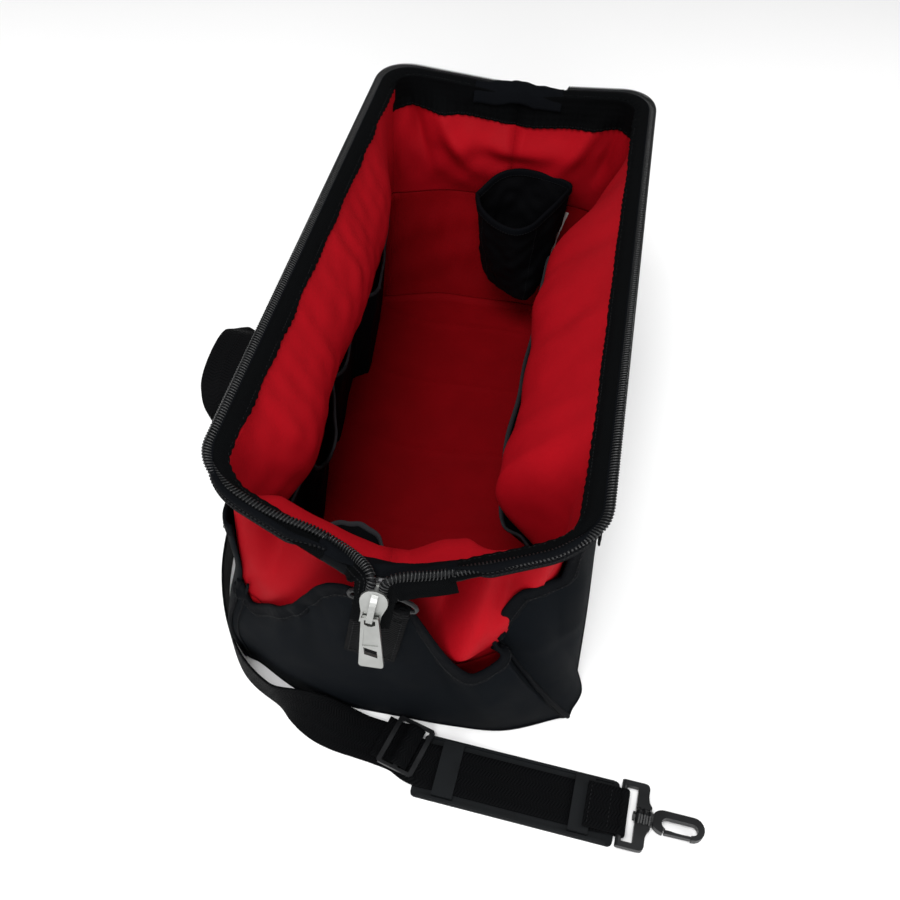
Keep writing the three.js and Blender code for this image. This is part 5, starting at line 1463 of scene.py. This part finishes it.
    def label(self, w: Wardrobe) -> None:
        """A blank strip of cloth sewn down the far wall."""
        points = []
        for x, z in self.label_route:
            s = FORM.find(FORM.far, 0, x, z, self.label_out)
            points.append(FORM.shell(s, z, self.label_out))
        path = evenly(spline(points, 80), 60)
        path = path + np.array([0, -0.8, 0]) * (np.sin(lengths(path) / 9.0) ** 2)[:, None]
        across = np.array([-0.95, 0.11, 0.3])
        dress(ribbon("blank_label_cloth", path, across, self.label_width, 0.8), w.label, "bag",
              ["blank_label"])

    def build(self, w: Wardrobe) -> None:
        """Makes everything inside."""
        self.left(w)
        self.slung("right_inner_pocket_cloth", FORM.right, self.right_span, self.right_hem, 211,
                   "right_inner_pocket", 220, (-1.0, 0.0), w)
        self.slung("near_inner_pocket_cloth", FORM.near, self.near_span, self.near_hem, 221,
                   "near_inner_pocket", 160, (0.0, 1.0), w)
        self.pouch(w)
        self.label(w)


# Ends: ring tabs, zip tails and the cloth over the hinges.


def on_panel(edge: tuple[float, float], axis: int, value: float, z: float, out: float) -> Array:
    """A point on a panel's outside, from one plan coordinate and its height."""
    return FORM.shell(FORM.find(edge, axis, value, z, out), z, out)


@dataclass
class SliderPlace:
    """The slider's own axes: across, down from its nose, and out towards the pull tab."""

    nose: tuple[float, float, float] = (-1.1, -314.5, 264.5)
    down_guess: tuple[float, float, float] = (-0.135, -0.202, -0.97)
    across_guess: tuple[float, float, float] = (0.99, 0.0, -0.138)

    @property
    def axes(self) -> tuple[Array, Array, Array]:
        """Across, down and out as unit vectors."""
        down = unit(np.array(self.down_guess))
        out = unit(np.cross(down, unit(np.array(self.across_guess))))
        return np.cross(out, down), down, out

    def at(self, a: Array, b: Array, c: Array) -> Array:
        """Points at distances across, down and out of the nose."""
        across, down, out = self.axes
        a, b, c = np.broadcast_arrays(np.asarray(a, float), np.asarray(b, float), np.asarray(c, float))
        return np.array(self.nose) + across * a[..., None] + down * b[..., None] + out * c[..., None]


@dataclass
class EndTrim:
    """Webbing tabs, zip tails and the cloth folded over both hinges."""

    webbing: float = 38.0
    layer: float = 2.0
    ring_bore: float = 1.8
    bar_height: float = 232.0
    bar_out: float = 0.3 + 3.8
    tab_run: float = 80.0
    tail_tape: float = 12.0
    tail_start: float = 43.7
    tail_inside: float = 9.0
    tail_apart: float = 4.1
    joined_end: float = 37.7
    cover_reach: float = 46.0
    cover_rise: float = 2.6
    eye_rise: float = 6.6
    joined_tape: float = 13.0
    tail_bends: tuple[float, float] = (262, 274)
    slider: SliderPlace = field(default_factory=SliderPlace)

    def tab(self, side: str, edge: tuple[float, float], end: int, bar: Array, up: Array, out: float,
            w: Wardrobe) -> None:
        """A doubled webbing tab: down the panel from an eye round its ring's bar."""
        outward = np.array([0.0, end, 0.0])
        across = np.cross(up, outward)
        eye = self.ring_bore + self.layer / 2
        a = np.linspace(-math.pi * 0.42, math.pi * 1.0, 26)
        loop = bar + up * (eye * np.sin(a))[:, None] + outward * (eye * np.cos(a))[:, None]
        back_foot = bar - outward * eye
        runs = [back_foot - up * 7.0]
        for d in (20.0, self.tab_run * 0.6, self.tab_run):
            p = bar - up * d
            runs.append(on_panel(edge, 0, p[0], p[2], out + 0.3 + self.layer / 2))
        back = spline(runs, 120)
        back = evenly(np.vstack([loop[13:], back]), 150)
        dress(ribbon(f"{side}_tab_back_layer", back, across, self.webbing, self.layer), w.webbing,
              "bag", [f"{side}_ring_tab"])
        front = [loop[k] for k in range(13, -1, -1)]
        front += [p + outward * (self.layer + 0.15) for p in (runs[0] + outward * 0.4, *runs[1:3])]
        front.append(runs[3] + outward * (self.layer + 0.15) + (runs[2] - runs[3]) * 0.06)
        front = evenly(spline(front, 240), 150)
        dress(ribbon(f"{side}_tab_front_layer", front, across, self.webbing - 0.6, self.layer), w.webbing)
        run = lengths(front)
        face = unit(np.cross(tangents(front), across))
        face = face * np.sign((face * outward).sum(-1, keepdims=True))
        for k, shift in enumerate((-0.5 * self.webbing + 3.5, 0.5 * self.webbing - 3.5)):
            at = (run > 17) & (run < run[-1] - 2)
            row = (front + across * shift + face * (self.layer / 2 + 0.1))[at]
            sew(f"{side}_tab_edge_thread_{k}", row, face[at], w, 3.4, 0.4)
        for k, place in enumerate((13.5, 21.0, run[-1] - 4)):
            c = at_length(front, np.array([place]))[0]
            n = at_length(front, np.array([place]), face)[0]
            wide = np.linspace(-0.42, 0.42, 20)[:, None] * self.webbing * across
            row = c + wide + n * (self.layer / 2 + 0.1)
            sew(f"{side}_tab_cross_thread_{k}", row, n, w, 3.4, 0.4)
        fold_at = np.array([6.0, 8.5, 10.5, 12.0])
        rise = np.array([[0.7], [1.6], [1.5], [0.9]])
        fold = at_length(front, fold_at) + at_length(front, fold_at, face) * rise
        dress(ribbon(f"{side}_tab_folded_hem", evenly(spline(fold, 30), 30), across, self.webbing + 0.6,
                     1.6), w.webbing)

    def tail(self, side: Side, w: Wardrobe) -> None:
        """Free coil and tape: a cubic from the leg's end into the slider's nose, its width turning."""
        trim = MouthTrim()
        place, level = trim.coil_place(side, np.zeros(1))
        line, outward, below = trim.run(side, self.tail_start, place[0], level[0], 400)
        start, leg = line[0], unit(line[0] - line[3])
        sp = self.slider
        across, down, out = sp.axes
        mouth = sp.at(side.value * self.tail_apart, -1.5, 0.0)
        p = np.array([start, start + leg * 22, mouth - down * 14, mouth])
        t = np.linspace(0, 1, 160)[:, None]
        curve = ((1 - t) ** 3 * p[0] + 3 * (1 - t) ** 2 * t * p[1] + 3 * (1 - t) * t ** 2 * p[2]
                 + t ** 3 * p[3])
        inside = sp.at(np.full(20, side.value * self.tail_apart),
                       np.linspace(-1.2, self.tail_inside, 20), 0.0)
        curve = np.vstack([curve, inside])
        share = ramp(np.concatenate([t[:, 0], np.ones(20)]), 0.1, 1)[:, None]
        along = tangents(curve)
        x = unit((outward[0] * 0.5 + below[0]) * (1 - share) + across * side.value * share)
        x = squared(x, along)
        y = np.cross(along, x)
        coil = Coil().wind(f"{side.word}_tail_filament", curve, -x, y, 1 - 0.12 * share[:, 0])
        dress(coil, w.coil, side.body, [f"{side.word}_zip_tail"], self.tail_bends)
        core = loft(f"{side.word}_tail_core", curve, -x, y, ring(2.0, 8, 0.5))
        dress(core, w.thread, side.body, bends=self.tail_bends)
        wide = np.linspace(2.2, 2.2 + self.tail_tape, 12)[None, :, None]
        curl = 0.5 * np.sin(lengths(curve) / 6.5 + side.value)[:, None] * ramp(wide[..., 0], 5, 14)
        narrow = 1 - 0.3 * ramp(np.linspace(0, 1, len(curve)), 0.55, 1.0)[:, None, None]
        tape = curve[:, None] + x[:, None] * wide * narrow + y[:, None] * curl[..., None]
        dress(thicken(grid(f"{side.word}_tail_tape", tape), 0.9), w.tape, side.body,
              bends=self.tail_bends)
        for k, place in enumerate((5.4, 9.4)):
            row = curve + x * place * narrow[:, 0] - y * 0.55 * side.value * np.sign((y[0] * out).sum())
            outward = y * np.sign((y[-1] * out).sum())
            sew(f"{side.word}_tail_thread_{k}", row, outward, w, 3.0, 0.36, side.body,
                self.tail_bends)

    def joined_tail(self, w: Wardrobe) -> None:
        """The closed zip below the slider, with a sewn bar across its end."""
        sp = self.slider
        across, _, out = sp.axes
        b = np.linspace(self.tail_inside + 0.3, self.joined_end - 1, 80)
        for sign in (-1, 1):
            path = sp.at(np.full(80, sign * 2.2), b, 0.0)
            coil = Coil(half_width=2.5, half_height=1.7).wind(
                f"joined_filament_{'left' if sign < 0 else 'right'}", path, np.tile(across * sign, (80, 1)),
                np.tile(out, (80, 1)), phase=math.pi * (sign > 0))
            dress(coil, w.coil, "bag", ["zip_tail_tape"] if sign < 0 else [])
        wide = np.linspace(-self.joined_tape, self.joined_tape, 19)[None]
        curl = -1.6 * (wide / self.joined_tape) ** 2
        fringe = self.joined_end - 0.4 + 0.9 * np.sin(wide * 1.7)
        ending = ramp(b, self.joined_end - 6, self.joined_end)[:, None]
        level = b[:, None] + (fringe - self.joined_end) * ending
        tape = sp.at(wide + 0 * b[:, None], level, -0.4 + curl)
        dress(thicken(grid("joined_tail_cloth", tape), 0.9), w.tape)

    def hinge_cover(self, name: str, end: int, inner: float, outer: float, stands_for: Sequence[str],
                    w: Wardrobe) -> None:
        """Cloth folded over a hinge: an arch across both wires, rounded where they meet.

        A row at r from the hinge has its middle at height H + cos(a)*(sqrt(r^2+k^2)-k), and its width falls
        away from there as the square of the distance.

        Args:
            name: Name of the piece.
            end: 1 at the far end, -1 at the near one.
            inner: Width towards the inside.
            outer: Width towards the outside.
            stands_for: Nodes that it replaces.
            w: Finishes.
        """
        round_off = 14.0
        r = np.linspace(-self.cover_reach, self.cover_reach, 120)[:, None]
        wide = np.linspace(-inner, outer, 24)[None]
        slope = (MOUTH.hinge_half - MOUTH.rail_half) / MOUTH.reach
        far = np.sqrt(r ** 2 + round_off ** 2)
        x = r * math.sin(MOUTH.angle)
        fall = 4.6 * (wide / 9.0) ** 2 + 3.0 * ramp(np.abs(wide), 8, 16)
        loose = 0.8 * crumple(r, wide, 301, 24.0) + 0.4 * crumple(r, wide, 302, 10.0)
        rise = self.cover_rise + self.eye_rise * hill(r, 0, 24.0)
        z = MOUTH.hinge_height + rise + (far - round_off) * math.cos(MOUTH.angle) - fall + loose
        y = end * (MOUTH.hinge_half - far * slope + wide)
        piece = grid(name, np.stack(np.broadcast_arrays(x, y, z), -1))
        dress(thicken(piece, 1.4), w.binding, "bag", stands_for)

    def build(self, w: Wardrobe) -> None:
        """Makes both ends' trim."""
        up = unit(np.array([0.16, 0.0, 1.0]))
        off = np.array([0, self.bar_out, 0])
        near_stand, far_stand = (OuterPocket.stand + gape + OuterPocket.cloth for gape in (1.5, 10.0))
        near_bar = on_panel(FORM.near, 0, -1.0, self.bar_height, near_stand) - off
        self.tab("near", FORM.near, -1, near_bar, up, near_stand, w)
        far_bar = on_panel(FORM.far, 0, 0.0, self.bar_height, far_stand) + off
        self.tab("far", FORM.far, 1, far_bar, np.array([0, 0, 1.0]), far_stand, w)
        for side in Side:
            self.tail(side, w)
        self.joined_tail(w)
        self.hinge_cover("near_hinge_cover", -1, 15.0, 4.0, [], w)
        self.hinge_cover("far_hinge_cover", 1, 15.0, 11.0, ["far_zip_end_patch"], w)
        for name in ("near_d_ring", "far_d_ring"):
            finish_node(name, w.coated)
        for name in ("slider_body", "pull_tab"):
            finish_node(name, w.nickel)


@dataclass
class CarryHandle:
    """A webbing handle sewn to one long side by both ends."""

    side: Side
    foot_level: float
    grip_level: float
    gape: float
    place: float = -120.0
    run: float = 72.0
    stand: float = 22.0
    turn: float = 22.0
    clear: float = 0.95
    width: float = 38.0
    thickness: float = 2.0

    @property
    def edge(self) -> tuple[float, float]:
        """The panel that it is sewn to, in outline steps."""
        return FORM.left if self.side is Side.LEFT else FORM.right

    def on_side(self, y: float, z: float) -> Array:
        """A point of the webbing's middle where it lies on the outer pocket."""
        seat = OuterPocket.stand + self.gape + OuterPocket.cloth + self.clear + self.thickness / 2
        return on_panel(self.edge, 1, self.place + y, z, seat)

    def standing(self) -> tuple[Array, Array]:
        """Middle line and width of the handle that stands up: folded sharply into a flat grip."""
        sign, half = self.side.value, self.run / 2

        def grip(y: float) -> Array:
            p = self.on_side(y, self.foot_level)
            return np.array([p[0] + sign * self.stand, p[1], self.grip_level])

        before = [self.on_side(-half, self.foot_level - 16), self.on_side(-half, self.foot_level)]
        after = [self.on_side(half, self.foot_level - 16), self.on_side(half, self.foot_level)]
        route = [*before, before[1] * 0.22 + grip(-half) * 0.78, grip(-half + 7), grip(half - 7),
                 after[1] * 0.22 + grip(half) * 0.78, after[1], after[0]]
        widths = np.array([(0, -1, 0), (0, -1, 0), (sign * 0.7, -0.7, 0), (sign, 0, 0), (sign, 0, 0),
                           (sign * 0.7, 0.7, 0), (0, 1, 0), (0, 1, 0)], float)
        path, across = spline(route, 300), spline(widths, 300)
        return evenly(path, 220), evenly(path, 220, across)

    def hanging(self) -> tuple[Array, Array]:
        """Middle line and width of the handle that hangs flat: two legs and a grip, quarter turns between."""
        half, r = self.run / 2, self.turn
        a = np.linspace(0, math.pi / 2, 12)
        level = np.linspace(self.foot_level, self.grip_level + r, 12, endpoint=False)
        leg = np.stack([np.full(12, -half), level], -1)
        quarter = np.stack([-half + r - r * np.cos(a), self.grip_level + r - r * np.sin(a)], -1)
        first = np.vstack([leg, quarter])
        plan = evenly(np.vstack([first, first[::-1] * [-1, 1]]), 120)
        path = np.array([self.on_side(y, z) for y, z in plan])
        path[:, 0] += self.side.value * 0.6 * ramp(plan[:, 1], self.foot_level - 16, self.grip_level)
        return path, np.cross(tangents(path), [float(self.side.value), 0, 0])

    def build(self, w: Wardrobe) -> None:
        """Makes the webbing."""
        path, across = self.standing() if self.grip_level > self.foot_level else self.hanging()
        word = self.side.word
        dress(ribbon(f"{word}_handle_webbing", path, across, self.width, self.thickness), w.webbing,
              f"{word}_carry_handle", [f"{word}_handle"])


@dataclass
class ShoulderStrap:
    """The webbing strap on the floor, its pad, adjuster and hooks."""

    width: float = 38.0
    thickness: float = 2.0
    bore: float = 2.7
    hook_bar: tuple[float, float, float] = (189.5, -320.5, 7.7)
    far_hook_bar: tuple[float, float, float] = (0.0, 314.8, 152.4)
    pad_along: tuple[float, float] = (0.9984, -0.0567)
    pad_fill: float = 0.8
    glide_along: tuple[float, float] = (0.963, -0.27)
    glide_centre: tuple[float, float] = (11.0, -300.3)

    @property
    def axes(self) -> tuple[Array, Array]:
        """The pad's length and width directions."""
        along = unit(np.array([*self.pad_along, 0.0]))
        return along, across_axis(along)

    def route(self) -> tuple[Array, Array]:
        """Centre line and width direction of the strap."""
        along, across = self.axes
        points = [(0, 314.8, 143.4), (-6, 326, 105), (-48, 340, 52), (-108, 336, 23), (-168, 305, 19.6),
                  (-199, 230, 19.4), (-204, 90, 19.4), (-200, -60, 19.4), (-182, -185, 19.4),
                  (-143, -258, 19.4), (-108, -282, 19.2), (-78, -290, 15.4), (-50, -294.5, 6.8),
                  (-28, -297, 1.8), (-12, -299, 1.4), (8, -303, 1.4)]
        widths = [(1, 0, 0), (0.98, 0, -0.2), (0.7, -0.1, -0.7), (0.25, -0.1, -0.96), (0, 0, -1), (0, 0, -1),
                  (0, 0, -1), (0, 0, -1), (0, 0, -1), (0, 0, -1), (0, 0.08, -1), (-0.1, -0.5, -0.85),
                  (-0.2, -0.93, -0.3), (-0.2, -0.97, 0), (-0.2, -0.98, 0), (-0.2, -0.98, 0)]
        for back, z in ((165, 4.2), (150, 4.0), (120, 4.0), (60, 4.0), (30, 4.0), (20, 5.0), (9, 7.7)):
            p = np.array(self.hook_bar) - along * back
            points.append((p[0], p[1], z))
            widths.append(tuple(-across))
        path, across_all = spline(points, 1400), spline(widths, 1400)
        path, across_all = evenly(path, 760), unit(evenly(path, 760, across_all))
        t = tangents(path)
        side = squared(across_all, t)
        lowest = 0.1 + (np.abs(side[:, 2]) * self.width + self.thickness) / 2
        path[:, 2] = np.maximum(path[:, 2], lowest)
        return path, side

    def eye(self, name: str, bar: Array, along: Array, across: Array, w: Wardrobe) -> None:
        """The end of the webbing folded round a bar and sewn to itself."""
        up = np.cross(along, across)
        r = self.bore + self.thickness / 2
        a = np.linspace(-math.pi * 0.62, math.pi * 0.62, 40)
        loop = bar + along * (r * np.cos(a))[:, None] + up * (r * np.sin(a))[:, None]
        low = bar - along * 13.0
        path = np.vstack([low - up * 0.2, loop[:1] * 0.5 + (bar - along * 5) * 0.5 - up * 0.6, loop,
                          bar * 0.5 + loop[-1] * 0.5 - along * 2 + up * 1.2,
                          low - along * 16 + up * (self.thickness + 0.15)])
        path = evenly(spline(path, 260), 130)
        width = self.width - 0.4
        dress(ribbon(name, path, across, width, self.thickness), w.webbing)
        for k, back in enumerate((10.0, 26.0)):
            wide = np.linspace(-0.42, 0.42, 20)[:, None] * self.width * across
            row = bar - along * back + up * (self.thickness * 1.5 + 0.35) + wide
            sew(f"{name}_thread_{k}", row, up, w, 3.2, 0.4)

    def strap(self, w: Wardrobe) -> None:
        """The long run of webbing."""
        path, side = self.route()
        dress(ribbon("strap_long_webbing", path, side, self.width, self.thickness), w.webbing,
              "bag", ["strap_webbing"])
        along, across = self.axes
        self.eye("strap_near_eye", np.array(self.hook_bar), along, across, w)
        self.eye("strap_far_eye", np.array(self.far_hook_bar), np.array([0, 0, 1.0]),
                 np.array([1.0, 0, 0]), w)

    def glide_loop(self, w: Wardrobe) -> None:
        """The loop of webbing round the adjuster's middle bar."""
        along = unit(np.array([*self.glide_along, 0.0]))
        across = across_axis(along)
        hump = [(-24, 3.3), (-18, 3.0), (-12.5, 2.9), (-7, 5.5), (-3.5, 9.2), (0, 10.1), (3.5, 9.2), (7, 6.4),
                (8.6, 5.6)]
        centre = np.array([*self.glide_centre, 0.0])
        points = [centre + along * x + np.array([0, 0, z + 0.9]) for x, z in hump]
        path = evenly(spline(points, 160), 90)
        width = self.width - 0.5
        dress(ribbon("glide_loop", path, -across, width, self.thickness), w.webbing,
              "glide", ["glide_loop_webbing"])

    def build(self, w: Wardrobe) -> None:
        """Makes the strap and gives its hard parts their finishes."""
        self.strap(w)
        self.glide_loop(w)
        for name in ("tri_glide", "hook_base", "swivel_hook", "hook_gate", "far_hook_base",
                     "far_swivel_hook", "far_hook_gate"):
            finish_node(name, w.plastic)
        finish_node("shoulder_pad", w.rubber)


# Studio.


@dataclass
class Studio:
    """Pale floor, soft light and the photograph's camera."""

    place: tuple[float, float, float] = (0.093, -0.631, 0.779)
    pitch: float = math.radians(49.4)
    yaw: float = math.radians(-9.3)
    roll: float = math.radians(2.05)
    focal_share: float = 982 / 900
    sensor: float = 36.0
    sky: float = 0.34

    def camera(self) -> None:
        """The camera, from its pitch, yaw and roll."""
        data = bpy.data.cameras.new("photo_camera")
        data.sensor_width = self.sensor
        data.lens = self.focal_share * self.sensor
        data.clip_start, data.clip_end = 0.05, 20.0
        level = math.cos(self.pitch)
        forward = np.array([math.sin(self.yaw) * level, math.cos(self.yaw) * level, -math.sin(self.pitch)])
        right = np.array([math.cos(self.yaw), -math.sin(self.yaw), 0.0])
        up = np.cross(right, forward)
        c, s = math.cos(self.roll), math.sin(self.roll)
        axes = (c * right + s * up, -s * right + c * up, -forward)
        turn = Matrix([[float(axes[j][i]) for j in range(3)] for i in range(3)]).to_4x4()
        camera = bpy.data.objects.new("photo_camera", data)
        camera.matrix_world = Matrix.Translation(Vector(self.place)) @ turn
        bpy.context.scene.collection.objects.link(camera)
        bpy.context.scene.camera = camera

    def light(self, name: str, place: tuple[float, float, float], size: float, power: float) -> None:
        """A square soft box that faces the bag."""
        data = bpy.data.lights.new(name, "AREA")
        data.shape, data.size, data.energy = "SQUARE", size, power
        lamp = bpy.data.objects.new(name, data)
        lamp.location = place
        lamp.rotation_mode = "QUATERNION"
        lamp.rotation_quaternion = (Vector((0, 0, 0.1)) - Vector(place)).to_track_quat("-Z", "Y")
        bpy.context.scene.collection.objects.link(lamp)

    def floor(self) -> None:
        """A wide pale floor."""
        mesh = bpy.data.meshes.new("studio_floor")
        mesh.from_pydata([(-12, -12, 0), (12, -12, 0), (12, 12, 0), (-12, 12, 0)], [], [(0, 1, 2, 3)])
        floor = bpy.data.objects.new("studio_floor", mesh)
        s = Shader("studio_floor_paint")
        place = s.node("ShaderNodeTexCoord", "Object")
        tone = s.blend(s.noise(place, 3.0), (0.93, 0.93, 0.93), (0.95, 0.95, 0.95))
        mesh.materials.append(s.finish(Base_Color=tone, Roughness=0.7, Specular_IOR_Level=0.1))
        bpy.context.scene.collection.objects.link(floor)

    def build(self) -> None:
        """Makes the whole studio."""
        self.floor()
        self.light("key_box", (-0.2, -0.9, 2.2), size=1.1, power=44)
        self.light("left_box", (-1.9, 0.3, 1.3), size=1.2, power=8)
        self.light("right_box", (1.8, 0.0, 1.2), size=1.2, power=20)
        self.light("front_box", (0.2, -2.2, 1.3), size=1.0, power=30)
        world = bpy.data.worlds.new("studio_air")
        world.use_nodes = True
        air = world.node_tree.nodes["Background"]
        air.inputs["Color"].default_value = (1, 1, 1, 1)
        air.inputs["Strength"].default_value = self.sky
        bpy.context.scene.world = world
        bpy.context.scene.view_settings.view_transform = "Standard"
        self.camera()


def corners(box: tuple[Vector, Vector]) -> list[list[float]]:
    """A box's two corners as plain lists."""
    return [[float(v) for v in corner] for corner in box]


def main() -> None:
    """Builds every sub-assembly round the frame."""
    logging.basicConfig(level=logging.INFO, format="%(name)s %(message)s")
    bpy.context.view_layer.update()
    w = Wardrobe.make()
    for part in (
        SewnBody(),
        SlackPanels(),
        MouthTrim(),
        InnerPockets(),
        EndTrim(),
        CarryHandle(Side.LEFT, foot_level=192.0, grip_level=242.0, gape=10.0),
        CarryHandle(Side.RIGHT, foot_level=212.0, grip_level=146.0, gape=3.4),
        ShoulderStrap(),
    ):
        LOG.info("building %s", type(part).__name__)
        part.build(w)
    Studio().build()


if __name__ == "__main__":
    main()
